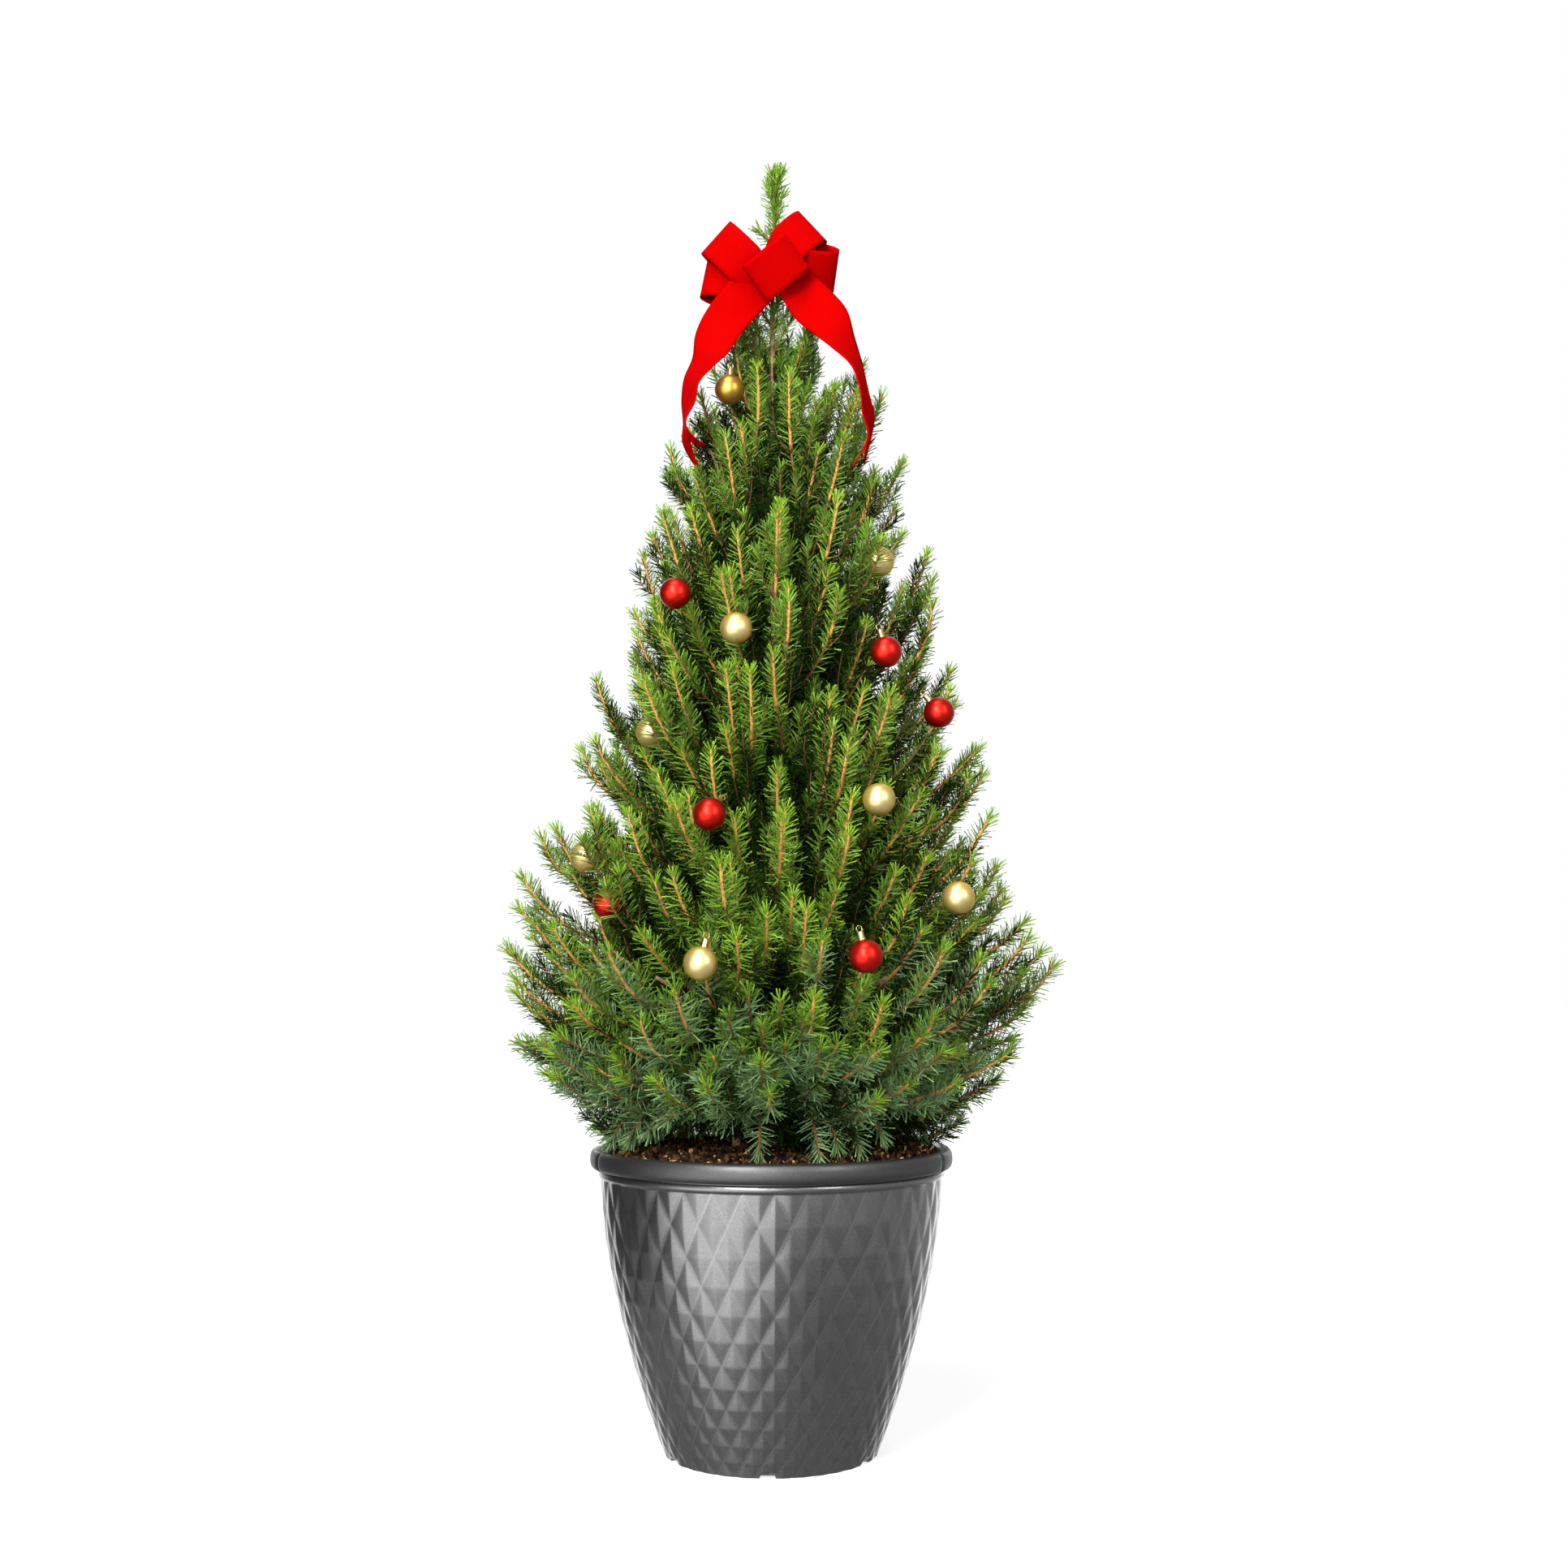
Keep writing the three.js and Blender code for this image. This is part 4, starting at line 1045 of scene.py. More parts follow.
def shoot_tips(tier, mass):
    """Across, along and out of each tip of one mass, and which shoots lead."""
    first, face_a_tip = TIERS[tier][4], TIERS[tier][6]
    stream = seeded_random(1000 + 100 * tier + mass)
    for _ in range(CORE_DRAWS):
        next(stream)
    start = np.array([0.4 + 0.2 * next(stream), 0.5 + 0.2 * next(stream)])
    first_out = []
    for _ in range(first):
        first_out.append(lerp(*SPRAY_REACH, next(stream)))
        next(stream)
    corners = cell_point(tier, mass, [-1, 1, 0, 0], [0, 0, -1, 1], 1.0)
    face = np.linalg.norm(np.cross(corners[1] - corners[0], corners[3] - corners[2]))
    count = max(int(face / face_a_tip), first + 2)
    spread = 2 * ((start + np.arange(count)[:, None] * SPREAD_STEPS) % 1) - 1
    spread[:first] *= SPRAY_SPREAD
    if tier == 0:
        spread[:, 1] = lerp(LOWEST_ALONG, 1, (spread[:, 1] + 1) / 2)
    leading = np.arange(count) < count / 2
    luck = rng.random(count)
    out = np.where(leading, lerp(*LEADING_REACH, luck), lerp(*SHELTERED_REACH, luck))
    out[:first] = first_out
    return spread[:, 0], spread[:, 1], out, leading


def bent_paths(start, bend, end, steps):
    """Paths from start to end that turn near a point between them."""
    t = np.linspace(0, 1, steps)[None, :, None]
    return start[:, None] * (1 - t) ** 2 + 2 * bend[:, None] * t * (1 - t) + end[:, None] * t ** 2


def rising_paths(root, tip, rise, steps):
    """Shoots that end at a tip with a given rise over the level, in degrees."""
    rise = np.radians(rise + rng.normal(0, RISE_SPREAD, len(tip)))[:, None]
    way = unit(tip * [1, 1, 0]) * np.cos(rise) + UP * np.sin(rise)
    bend = tip - way * SHOOT_BEND * np.linalg.norm(tip - root, axis=-1, keepdims=True)
    return bent_paths(root, bend, tip, steps)


outer_paths, outer_tiers, outer_leading = [], [], []
inner_paths, inner_tiers = [], []
for tier, (_, _, _, masses, *_, rise) in enumerate(TIERS):
    for mass in range(masses):
        across, along, out, leading = shoot_tips(tier, mass)
        root_out = out * lerp(*ROOT_SHARES, rng.random(len(across)))
        root = cell_point(tier, mass, 0.5 * across, 0.6 * along - 0.3, root_out)
        tips = cell_point(tier, mass, across, along, out)
        shoot_rise = rise * np.where(leading, 1, SHELTERED_RISE)
        outer_paths.append(rising_paths(root, tips, shoot_rise, SHOOT_STEPS))
        outer_tiers.append(np.full(len(across), tier))
        outer_leading.append(leading)
        filler = 2 * rng.random((len(across) * 3 // 2, 2)) - 1
        inner_out = lerp(*INNER_ROOTS, rng.random(len(filler)))
        inner_root = cell_point(tier, mass, 0.7 * filler[:, 0], 0.7 * filler[:, 1], inner_out)
        inner_tip = cell_point(tier, mass, filler[:, 0], filler[:, 1], inner_out + INNER_LENGTH)
        inner_paths.append(rising_paths(inner_root, inner_tip, INNER_RISE * rise, INNER_STEPS))
        inner_tiers.append(np.full(len(filler), tier))


def grow_to(tips, leading):
    """Adds shoots that end at given tips, each on the growth line through its tip."""
    radius = np.hypot(tips[:, 0], tips[:, 1])
    height = growth_height(radius, tips[:, 2])
    tiers = np.searchsorted([high for _, _, high, *_ in TIERS], height).clip(0, len(TIERS) - 1)
    root = line_point(height, np.arctan2(tips[:, 1], tips[:, 0]), GIVEN_ROOT_SHARE * radius)
    rise = np.array([tier[-1] for tier in TIERS])[tiers]
    outer_paths.append(rising_paths(root, tips, rise, SHOOT_STEPS))
    outer_tiers.append(tiers)
    outer_leading.append(np.full(len(tips), leading))


tip_x, tip_z = np.array(OUTLINE_TIPS, float).T
tip_turn = rng.normal(0, OUTLINE_TURN, len(tip_x))
grow_to(np.stack([tip_x, np.abs(tip_x) * np.sin(tip_turn), tip_z], -1), True)
grow_to(np.array([on_crown(px, py, FRONT_SHARE) for px, py in FRONT_TIPS]), False)
top_number = np.arange(TOP_SHOOTS)
top_z = lerp(*TOP_LEVELS, top_number * GOLDEN % 1)
top_angle = np.pi * (top_number + 0.5) / TOP_SHOOTS
top_way = np.stack([np.cos(top_angle), np.sin(top_angle)], -1)
top_out = top_way * TOP_SHARE * crown_radius(top_z)[:, None]
grow_to(np.concatenate([top_out, top_z[:, None]], -1), True)

# %% [markdown]
# The baubles that the photograph shows half hidden hang a little inside the crown, and two shoots grow up
# before each of them. The lowest boughs droop to the soil all round, in tufts, and short dark sprays fill
# the space behind them.

# %% Covering shoots, drooping tufts and low sprays
COVERS = [
    # bend and tip of a covering shoot, seen from the bauble: towards the trunk, forward, up
    (8, 16, -25, 10, 17, 24), (2, 19, -22, 0, 21, 12),
]
COVER_DROP = 55  # how far below the bauble a covering shoot starts
DROOPING_TIPS = [
    # pixel and depth of the tufts that hang down in front
    (752, 1408, -40), (775, 1404, -70), (800, 1396, -85), (822, 1382, -95), (935, 1428, -122),
    (1010, 1430, -125), (1032, 1414, -118), (1060, 1418, -115), (1088, 1402, -100), (1146, 1368, -60),
    (1176, 1370, -30),
]
COVER_TIER = 2
DROOP_ROOT_LEVEL, DROOP_BEND_LEVEL = 286, 290
DROOP_ROOT_SHARE, DROOP_BEND_SHARE = 0.6, 0.7
BACK_TUFTS = 84
BACK_TUFT_ANGLES = (10, 195)  # degrees
BACK_TUFT_RADII = (98, 138)
BACK_TUFT_CLEARANCE = (3, 13)  # height of the tips over the soil
LOW_SPRAYS = 170
SPRAY_RADII = (45, 135)
SPRAY_ROOT_LEVEL = 282
SPRAY_TIP_LEVELS = (264, 290)
SPRAY_RISE = -10  # degrees
STEM_VIEW_X, STEM_VIEW_HALF, STEM_VIEW_DEPTH = -50, 45, 10  # where a spray would hide the low stems
STEM_VIEW_LIFT = 20

hidden_baubles = np.array([place for place, room in zip(bauble_places, bauble_rooms) if room == HIDDEN_ROOM])
to_trunk = -np.sign(hidden_baubles[:, :1]) * [1, 0, 0]
cover_root = hidden_baubles * [0.5, 0.5, 1] - UP * COVER_DROP
for bend_in, bend_front, bend_up, tip_in, tip_front, tip_up in COVERS:
    cover_bend = hidden_baubles + to_trunk * bend_in + [0, -bend_front, bend_up]
    cover_tip = hidden_baubles + to_trunk * tip_in + [0, -tip_front, tip_up]
    outer_paths.append(bent_paths(cover_root, cover_bend, cover_tip, SHOOT_STEPS))
    outer_tiers.append(np.full(len(cover_tip), COVER_TIER))
    outer_leading.append(np.zeros(len(cover_tip), bool))

front_tips = np.array([photo_point(px, py, depth) for px, py, depth in DROOPING_TIPS])
back_angle = np.radians(np.linspace(*BACK_TUFT_ANGLES, BACK_TUFTS)) + rng.normal(0, 0.05, BACK_TUFTS)
back_radius = lerp(*BACK_TUFT_RADII, rng.random(BACK_TUFTS))
back_x, back_y = back_radius * np.cos(back_angle), back_radius * np.sin(back_angle)
back_z = soil_level(back_x, back_y) + lerp(*BACK_TUFT_CLEARANCE, rng.random(BACK_TUFTS))
back_tips = np.stack([back_x, back_y, back_z], -1)
droop_tips = np.concatenate([front_tips, back_tips])
droop_roots = droop_tips * [DROOP_ROOT_SHARE, DROOP_ROOT_SHARE, 0] + UP * DROOP_ROOT_LEVEL
droop_bends = lerp(droop_roots, droop_tips, DROOP_BEND_SHARE) * [1, 1, 0] + UP * DROOP_BEND_LEVEL
droop_paths = bent_paths(droop_roots, droop_bends, droop_tips, SHOOT_STEPS)

spray_angle = 2 * np.pi * rng.random(LOW_SPRAYS)
spray_radius = lerp(*SPRAY_RADII, rng.random(LOW_SPRAYS))
spray_way = np.stack([np.cos(spray_angle), np.sin(spray_angle), 0 * spray_angle], -1)
spray_root = spray_way * 0.5 * spray_radius[:, None] + UP * SPRAY_ROOT_LEVEL
spray_level = lerp(*SPRAY_TIP_LEVELS, rng.random(LOW_SPRAYS))[:, None]
spray_tip = spray_way * spray_radius[:, None] + UP * spray_level
beside_stem = np.abs(spray_tip[:, 0] - STEM_VIEW_X)
before_stem = (beside_stem < STEM_VIEW_HALF) & (spray_tip[:, 1] < STEM_VIEW_DEPTH)
spray_tip[before_stem, 2] += STEM_VIEW_LIFT
inner_paths.append(rising_paths(spray_root, spray_tip, SPRAY_RISE, INNER_STEPS))
inner_tiers.append(np.zeros(LOW_SPRAYS, int))

# %% [markdown]
# The back, which the photograph doesn't show, gets nearly as many baubles, spread by the golden angle.
# Each hangs from the tip of the leading shoot that is nearest to its place, just clear of that shoot's
# side.

# %% Baubles of the back
BACK_BAUBLES = 13
BACK_LEVELS = (340, 780)
GOLDEN_ANGLE = math.pi * (3 - math.sqrt(5))
BACK_FROM, BACK_SPAN = 0.29 * math.pi, 0.42 * math.pi  # directions that the camera doesn't see
HANG = 27  # how far the middle of a bauble hangs below the tip of its shoot
CARRIER_CLEARANCE = 2.5

can_carry = np.concatenate(outer_leading) & (np.concatenate(outer_tiers) > 0)
carriers = np.concatenate(outer_paths)[can_carry]
for number in range(BACK_BAUBLES):
    level = lerp(*BACK_LEVELS, (number + 0.5) / BACK_BAUBLES)
    angle = BACK_FROM + (number * GOLDEN_ANGLE) % BACK_SPAN
    radius = float(crown_radius(np.array(level)))
    wanted = np.array([radius * math.cos(angle), radius * math.sin(angle), level + HANG])
    carrier = carriers[np.argmin(np.linalg.norm(carriers[:, -1] - wanted, axis=-1))]
    beside = np.argmin(np.abs(carrier[:, 2] - carrier[-1, 2] + HANG))
    upward = unit(carrier[beside + 1] - carrier[beside])[2]
    outward = unit(carrier[beside] * [1, 1, 0])
    place = carrier[beside] + outward * (BAUBLE_RADIUS + CARRIER_CLEARANCE) / max(upward, 0.5)
    to_tip = carrier[-1] - place
    bauble_places.append(place)
    bauble_colours.append(("gold", "red")[number % 2])
    bauble_rooms.append(0)
    bauble_leans.append(np.degrees(np.arctan2(to_tip[:2], to_tip[2])))
bauble_places = np.array(bauble_places)

# %% [markdown]
# Shoots that would pass through a bauble, or hide one that shows in the photograph, are left out: whoever
# hung the baubles looked for gaps.

# %% Room for the decorations
SIGHT_MARGIN = 4  # how far behind a decoration's middle a path still counts as before it
SHOOT_CLEARANCE = 1


def hides(paths, place, radius):
    """Which paths pass before a place, as the camera sees it."""
    ray = unit(place - CAMERA_PLACE)
    away = paths - CAMERA_PLACE
    distance = away @ ray
    beside = np.linalg.norm(away - distance[..., None] * ray, axis=-1)
    return ((beside < radius) & (distance < np.linalg.norm(place - CAMERA_PLACE) + SIGHT_MARGIN)).any(1)


def passes_clear(paths):
    """Which paths leave the decorations free."""
    clear = np.ones(len(paths), bool)
    for place, room in zip(bauble_places, bauble_rooms):
        clear &= np.linalg.norm(paths - place, axis=-1).min(1) > BAUBLE_RADIUS + SHOOT_CLEARANCE
        clear &= ~hides(paths, place, room)
    for place in tail_places:
        clear &= ~hides(paths, place, TAIL_ROOM)
    return clear


outer_paths, outer_tiers = np.concatenate(outer_paths), np.concatenate(outer_tiers)
outer_leading = np.concatenate(outer_leading)
inner_paths, inner_tiers = np.concatenate(inner_paths), np.concatenate(inner_tiers)
outer_clear = passes_clear(outer_paths)
outer_clear[-len(COVERS) * len(hidden_baubles):] = True
outer_paths, outer_tiers = outer_paths[outer_clear], outer_tiers[outer_clear]
outer_leading = outer_leading[outer_clear]
inner_clear = passes_clear(inner_paths)
inner_paths, inner_tiers = inner_paths[inner_clear], inner_tiers[inner_clear]
print(len(outer_paths), "shoots,", int((~outer_clear).sum()), "left out for the decorations")

# %% [markdown]
# Side twigs fill the space between the shoots. They leave a shoot in turn to its left and right, and soon
# turn up beside it. They get shorter towards its tip.

# %% Side twigs
SIDE_TWIGS = 4
SIDE_STEPS = 5
SIDE_SHARES = (0.2, 0.72)
SIDE_LENGTHS = (56, 26)
SIDE_OFFSET, SIDE_AHEAD, SIDE_END = 0.32, 0.3, 0.6  # shares of a twig's length: out, on, past its bend
SIDE_JITTER = 0.2
SIDE_TILT = 0.7  # radians
SIDE_LUCK = (0.75, 1.15)


def points_along(paths, owner, share):
    """Points at a share of the way along paths, and the numbers of the steps that they are on."""
    spans = paths.shape[1] - 1
    place = np.clip(share, 0, 0.9999) * spans
    index = place.astype(int)
    start, end = paths[owner, index], paths[owner, index + 1]
    return lerp(start, end, (place - index)[:, None]), index


side_owner = np.repeat(np.arange(len(outer_paths)), SIDE_TWIGS)
side_count = len(side_owner)
side_place = np.tile(np.linspace(0, 1, SIDE_TWIGS), len(outer_paths))
side_place = side_place + SIDE_JITTER * (rng.random(side_count) - 0.5)
side_roots, side_index = points_along(outer_paths, side_owner, lerp(*SIDE_SHARES, side_place))
shoot_ahead, shoot_under, shoot_side = (part[side_owner, side_index] for part in path_frames(outer_paths))
side_sign = np.where(np.arange(side_count) % 2 == 0, 1, -1)[:, None]
side_tilt = rng.normal(0, SIDE_TILT, side_count)[:, None]
side_out = shoot_side * side_sign * np.cos(side_tilt) + shoot_under * np.sin(side_tilt)
side_lengths = (lerp(*SIDE_LENGTHS, side_place) * lerp(*SIDE_LUCK, rng.random(side_count)))[:, None]
end_way = unit(outer_paths[side_owner, -1] - outer_paths[side_owner, -3])
side_bends = side_roots + side_lengths * (SIDE_OFFSET * side_out + SIDE_AHEAD * shoot_ahead)
side_tips = side_bends + SIDE_END * side_lengths * end_way
side_paths = bent_paths(side_roots, side_bends, side_tips, SIDE_STEPS)
side_tiers = outer_tiers[side_owner]
side_clear = passes_clear(side_paths)
side_paths, side_tiers = side_paths[side_clear], side_tiers[side_clear]
print(len(side_paths), "side twigs")

# %% [markdown]
# ## Twigs
# Young spruce twigs are a bright orange tan, which shows between the needles, and older ones are brown.
# So a leading shoot is young at its end and old towards its root. All are slim tubes of a few sides,
# joined into a few meshes. The young ends keep the small pegs of fallen needles, so chance moves the
# points of their tubes out a little.

# %% Twigs
YOUNG_LENGTHS = (35, 75)
YOUNG_STEPS = 14
YOUNG_SKIRT_SHARE = 0.4  # how many of the skirt's leading shoots have a young end
PEG_SIZE = 0.28
SHOOT_RADII = np.linspace(1.5, 1.0, SHOOT_STEPS)
YOUNG_RADII = np.linspace(1.3, 0.9, YOUNG_STEPS)
SIDE_RADII = np.linspace(0.75, 0.4, SIDE_STEPS)
INNER_RADII = np.linspace(1.4, 0.7, INNER_STEPS)
TWIG_LOOK = {"specular": 0.3, "grain": (500.0, 3.0), "spots": (0.3, 0.7), "roughness": (0.6, 0.2),
             "bump_depth": 0.0006}


def pegs(points):
    return np.abs(rng.normal(0, PEG_SIZE, len(points)))


def stretch(paths, low, high, steps):
    """The part of each path between two shares of the way along it."""
    share = lerp(low[:, None], high[:, None], np.linspace(0, 1, steps))
    owner = np.repeat(np.arange(len(paths)), steps)
    return points_along(paths, owner, share.ravel())[0].reshape(len(paths), steps, 3)


young_bark = mottled("young twig bark", rgb(0.48, 0.18, 0.04), rgb(0.85, 0.42, 0.13), **TWIG_LOOK)
brown_bark = mottled("brown twig bark", rgb(0.13, 0.055, 0.02), rgb(0.30, 0.135, 0.05), **TWIG_LOOK)
old_bark = mottled("old twig bark", rgb(0.03, 0.017, 0.009), rgb(0.09, 0.05, 0.025), **TWIG_LOOK)
outer_lengths = np.linalg.norm(np.diff(outer_paths, axis=1), axis=-1).sum(1)
young_lengths = lerp(*YOUNG_LENGTHS, rng.random(len(outer_paths)))
young_from = np.clip(1 - young_lengths / outer_lengths, 0, 0.9)
young_share = np.where(outer_tiers == 0, YOUNG_SKIRT_SHARE, 1.0)
has_young = outer_leading & (rng.random(len(outer_paths)) < young_share)
young_from = np.where(has_young, young_from, 0.999)
young_ends = stretch(outer_paths[has_young], young_from[has_young], np.ones(has_young.sum()), YOUNG_STEPS)
old_parts = stretch(outer_paths, np.zeros(len(outer_paths)), young_from, SHOOT_STEPS)
make_piece("young_twigs", *tubes(young_ends, YOUNG_RADII, 5, pegs), young_bark, "bark")
make_piece("shoot_twigs", *tubes(old_parts, SHOOT_RADII, 4), brown_bark, "bark")
make_piece("drooping_twigs", *tubes(droop_paths, SHOOT_RADII, 5), brown_bark, "bark")
make_piece("side_twigs", *tubes(side_paths, SIDE_RADII, 3), brown_bark, "bark")
make_piece("inner_twigs", *tubes(inner_paths, INNER_RADII, 3), old_bark, "bark")

# %% [markdown]
# ## Needles
# A needle is a slim twisted blade of two faces with a blunt end, which leans forward from its twig. The
# twist gives it some width from every side. On the side of the twig that faces down and out the needles
# part, so the twig shows. At the tip they close into a tuft. The needles are dealt into meshes by tint:
# fresh tips, young growth, older growth, near-black needles of painted shade for the shaded inside of the
# crown, and the bluer needles of the lowest boughs. The sides of the crown, out of the key light, get
# painted shade: they are dealt more of the darker older tint and more of the near-black needles.

# %% Needles
PARTING = math.radians(32)  # half of the bare strip under a twig
GOLDEN_TURN = 2 * math.pi * GOLDEN
TIP_CROWDING = 1.3  # how much closer the needles stand towards the tip
TUFT_LENGTH = 17
BLADE_END = 0.68  # width of a needle at its end, as a share of its width at its root
BLADE_TWIST = math.radians(60)
BLADE_SKEW = [0.3, 0.5, 0.8]  # a direction that few needles have, from which their faces are turned
NEEDLE_LENGTHS = (14.5, 11.8)  # in the lowest tier, and from the fourth up
NEEDLE_LUCK = (0.8, 1.1)
TUFT_SHRINK = 0.8
NEEDLE_LEANS = (64, 56)  # degrees from the twig, in the lowest tier, and from the fifth up
TUFT_LEAN = 26
LEAN_SPREAD = 7
SPIN_SPREAD = 0.3  # radians
ROOT_OFFSET = 0.6  # from the middle of the twig
LEAST_NEEDLES = 6
# These rows hold the bare share of a twig, needles a millimetre, and half of a needle's width.
SHOOT_NEEDLES = (0.15, 1.4, 0.62)
SIDE_NEEDLES = (0.0, 1.4, 0.62)
DROOP_NEEDLES = (0.25, 1.7, 0.62)
INNER_NEEDLES = (0.05, 1.3, 0.95)


def needle_set(paths, tiers, first_share, density, width, lean_share=1.0):
    """Roots, directions and sizes of the needles on some twigs, with density in needles a millimetre."""
    lengths = np.linalg.norm(np.diff(paths, axis=1), axis=-1).sum(1)
    counts = np.maximum((lengths * (1 - first_share) * density).astype(int), LEAST_NEEDLES)
    owner = np.repeat(np.arange(len(paths)), counts)
    order = np.arange(len(owner)) - np.repeat(np.cumsum(counts) - counts, counts)
    share = lerp(1.0, first_share, (1 - (order + rng.random(len(owner))) / counts[owner]) ** TIP_CROWDING)
    roots, index = points_along(paths, owner, share)
    ahead, under, side = (part[owner, index] for part in path_frames(paths))
    left = lengths[owner] * (1 - share)
    tuft = np.clip(1 - left / TUFT_LENGTH, 0, 1)
    parting = PARTING * (1 - tuft)
    spin = (order * GOLDEN_TURN) % (2 * np.pi)
    spin = parting + spin * (1 - parting / np.pi) + rng.normal(0, SPIN_SPREAD, len(owner))
    tier = tiers[owner]
    lean = lerp(lerp(*NEEDLE_LEANS, np.clip(tier / 4, 0, 1)), TUFT_LEAN, tuft)
    lean = lean + rng.normal(0, LEAN_SPREAD, len(owner))
    lean = np.radians(lean_share * lean)[:, None]
    spread = under * np.cos(spin)[:, None] + side * np.sin(spin)[:, None]
    way = unit(ahead * np.cos(lean) + spread * np.sin(lean))
    size = lerp(*NEEDLE_LENGTHS, np.clip(tier / 3, 0, 1)) * lerp(*NEEDLE_LUCK, rng.random(len(owner)))
    size = size * lerp(1, TUFT_SHRINK, tuft)
    return {"root": roots + spread * ROOT_OFFSET, "way": way, "size": size, "left": left, "tier": tier,
            "owner": owner, "share": share, "width": width}


def blades(needles, chosen):
    """Points and triangles of the chosen needles, each a twisted blade."""
    root, way, size = (needles[key][chosen] for key in ("root", "way", "size"))
    roll = 2 * np.pi * rng.random(len(root))[:, None]
    level = unit(np.cross(way, BLADE_SKEW))
    upright = np.cross(way, level)
    root_half = needles["width"] * (level * np.cos(roll) + upright * np.sin(roll))
    turned = roll + BLADE_TWIST
    tip_half = BLADE_END * needles["width"] * (level * np.cos(turned) + upright * np.sin(turned))
    tip = root + way * size[:, None]
    points = np.stack([root - root_half, root + root_half, tip - tip_half, tip + tip_half], 1)
    triangles = np.array([[0, 1, 3], [0, 3, 2]])[None] + 4 * np.arange(len(root))[:, None, None]
    return points.reshape(-1, 3), triangles.reshape(-1, 3)


def needle_finish(name, shade, light, gloss=0.3):
    needle = Finish(name, Roughness=0.4, Specular_IOR_Level=gloss)
    own = needle.node("NewGeometry", {}, {}, "Random Per Island")
    needle.set(Base_Color=needle.mix(0.7 * own + 0.3 * needle.grain(60.0), shade, light))
    return needle


NEEDLE_FINISHES = {
    "fresh": needle_finish("fresh needles", rgb(0.15, 0.30, 0.010), rgb(0.32, 0.52, 0.04)),
    "young": needle_finish("young needles", rgb(0.065, 0.155, 0.008), rgb(0.30, 0.53, 0.045)),
    "mature": needle_finish("mature needles", rgb(0.034, 0.09, 0.005), rgb(0.18, 0.34, 0.027)),
    # near-black, dull needles of painted shade, for the crown's shaded inside
    "painted_shade": needle_finish("needles with painted shade", rgb(0.0025, 0.008, 0.001), rgb(0.016, 0.04, 0.003), 0.06),
    "blue": needle_finish("blue-green needles", rgb(0.03, 0.08, 0.022), rgb(0.29, 0.48, 0.18)),
}

shoot_needles = needle_set(outer_paths, outer_tiers, *SHOOT_NEEDLES)
side_needles = needle_set(side_paths, side_tiers, *SIDE_NEEDLES)
droop_needles = needle_set(droop_paths, np.zeros(len(droop_paths), int), *DROOP_NEEDLES)
inner_needles = needle_set(inner_paths, inner_tiers, *INNER_NEEDLES)
needle_sets = (shoot_needles, side_needles, droop_needles, inner_needles)
print(sum(len(needles["root"]) for needles in needle_sets), "needles")


# %% Tints of the needles
SIDE_FROM, SIDE_SPAN = 0.5, 0.4  # where the crown's sides begin, as a share of the radius, and how fast
OLD_AND_SHADE_SHARES = (0.1, 0.8)  # how many sprays take the darker older tint: on the front as older growth, on the sides also as painted shade
YOUNG_REACH = 70  # how far from its tip a leading shoot has young needles
SHELTERED_SHARE = 0.3  # of a shoot from its root, and of the shoots that don't lead
SHADE_PAINT_FROM = 45  # how far inside the outline sheltered needles get painted shade
FRESH_LENGTHS = (3, 12)  # least and most of a tip that is fresh
BLUISH_LOW_SHARE = 0.5  # of the second tier's sprays
BLUISH_DULL_SHARE = 0.7  # of the bluish sprays' tips
SHADE_PAINT_DEPTH = 70  # how far inside the outline side twigs get painted shade
# more painted shade on side twigs at the crown's sides, out of the key light
SIDE_SHADE_PAINT = 0.3
SHADE_PAINT_SHARES = (0.05, 0.8)
OPEN_ABOVE, OPEN_SHADE_PAINT_SHARE = 5, 0.1  # tiers above this one are thin, and few of their twigs get painted shade
SIDE_BLUE_FROM = 0.3


def depth_inside(points):
    """How far points lie inside the crown's outline."""
    return crown_radius(points[:, 2]) - np.hypot(points[:, 0], points[:, 1])


def sideness(points):
    """How far points lie to the crown's left or right: 0 on the front, 1 on the sides."""
    to_side = np.abs(points[:, 0]) / np.hypot(points[:, 0], points[:, 1])
    return np.clip((to_side - SIDE_FROM) / SIDE_SPAN, 0, 1)


def shoot_tints(needles):
    """The tints of the needles on the outer shoots, by their place on the twig and by their own spray."""
    luck = rng.random(needles["owner"].max() + 1)[needles["owner"]]
    leads = outer_leading[needles["owner"]]
    # on the sides, out of the key light, more sprays take the darker older tint as painted shade
    old_and_shade_share = lerp(*OLD_AND_SHADE_SHARES, sideness(outer_paths[:, -1]))[needles["owner"]]
    tint = np.where(leads & (needles["left"] < YOUNG_REACH) & (luck > old_and_shade_share), "young", "mature")
    sheltered = (needles["share"] < SHELTERED_SHARE) | (~leads & (luck < SHELTERED_SHARE))
    # sheltered needles deep inside the outline get painted shade
    tint = np.where(sheltered & (depth_inside(needles["root"]) > SHADE_PAINT_FROM), "painted_shade", tint)
    least_fresh, most_fresh = FRESH_LENGTHS
    fresh_length = np.where(leads, lerp(least_fresh, most_fresh, luck), least_fresh)
    tint = np.where(needles["left"] < fresh_length, "fresh", tint)
    bluish = (needles["tier"] == 0) | ((needles["tier"] == 1) & (luck < BLUISH_LOW_SHARE))
    tint = np.where(bluish & (tint == "fresh") & (luck < BLUISH_DULL_SHARE), "young", tint)
    return np.where(bluish & (needles["left"] > most_fresh) & (tint != "painted_shade"), "blue", tint)


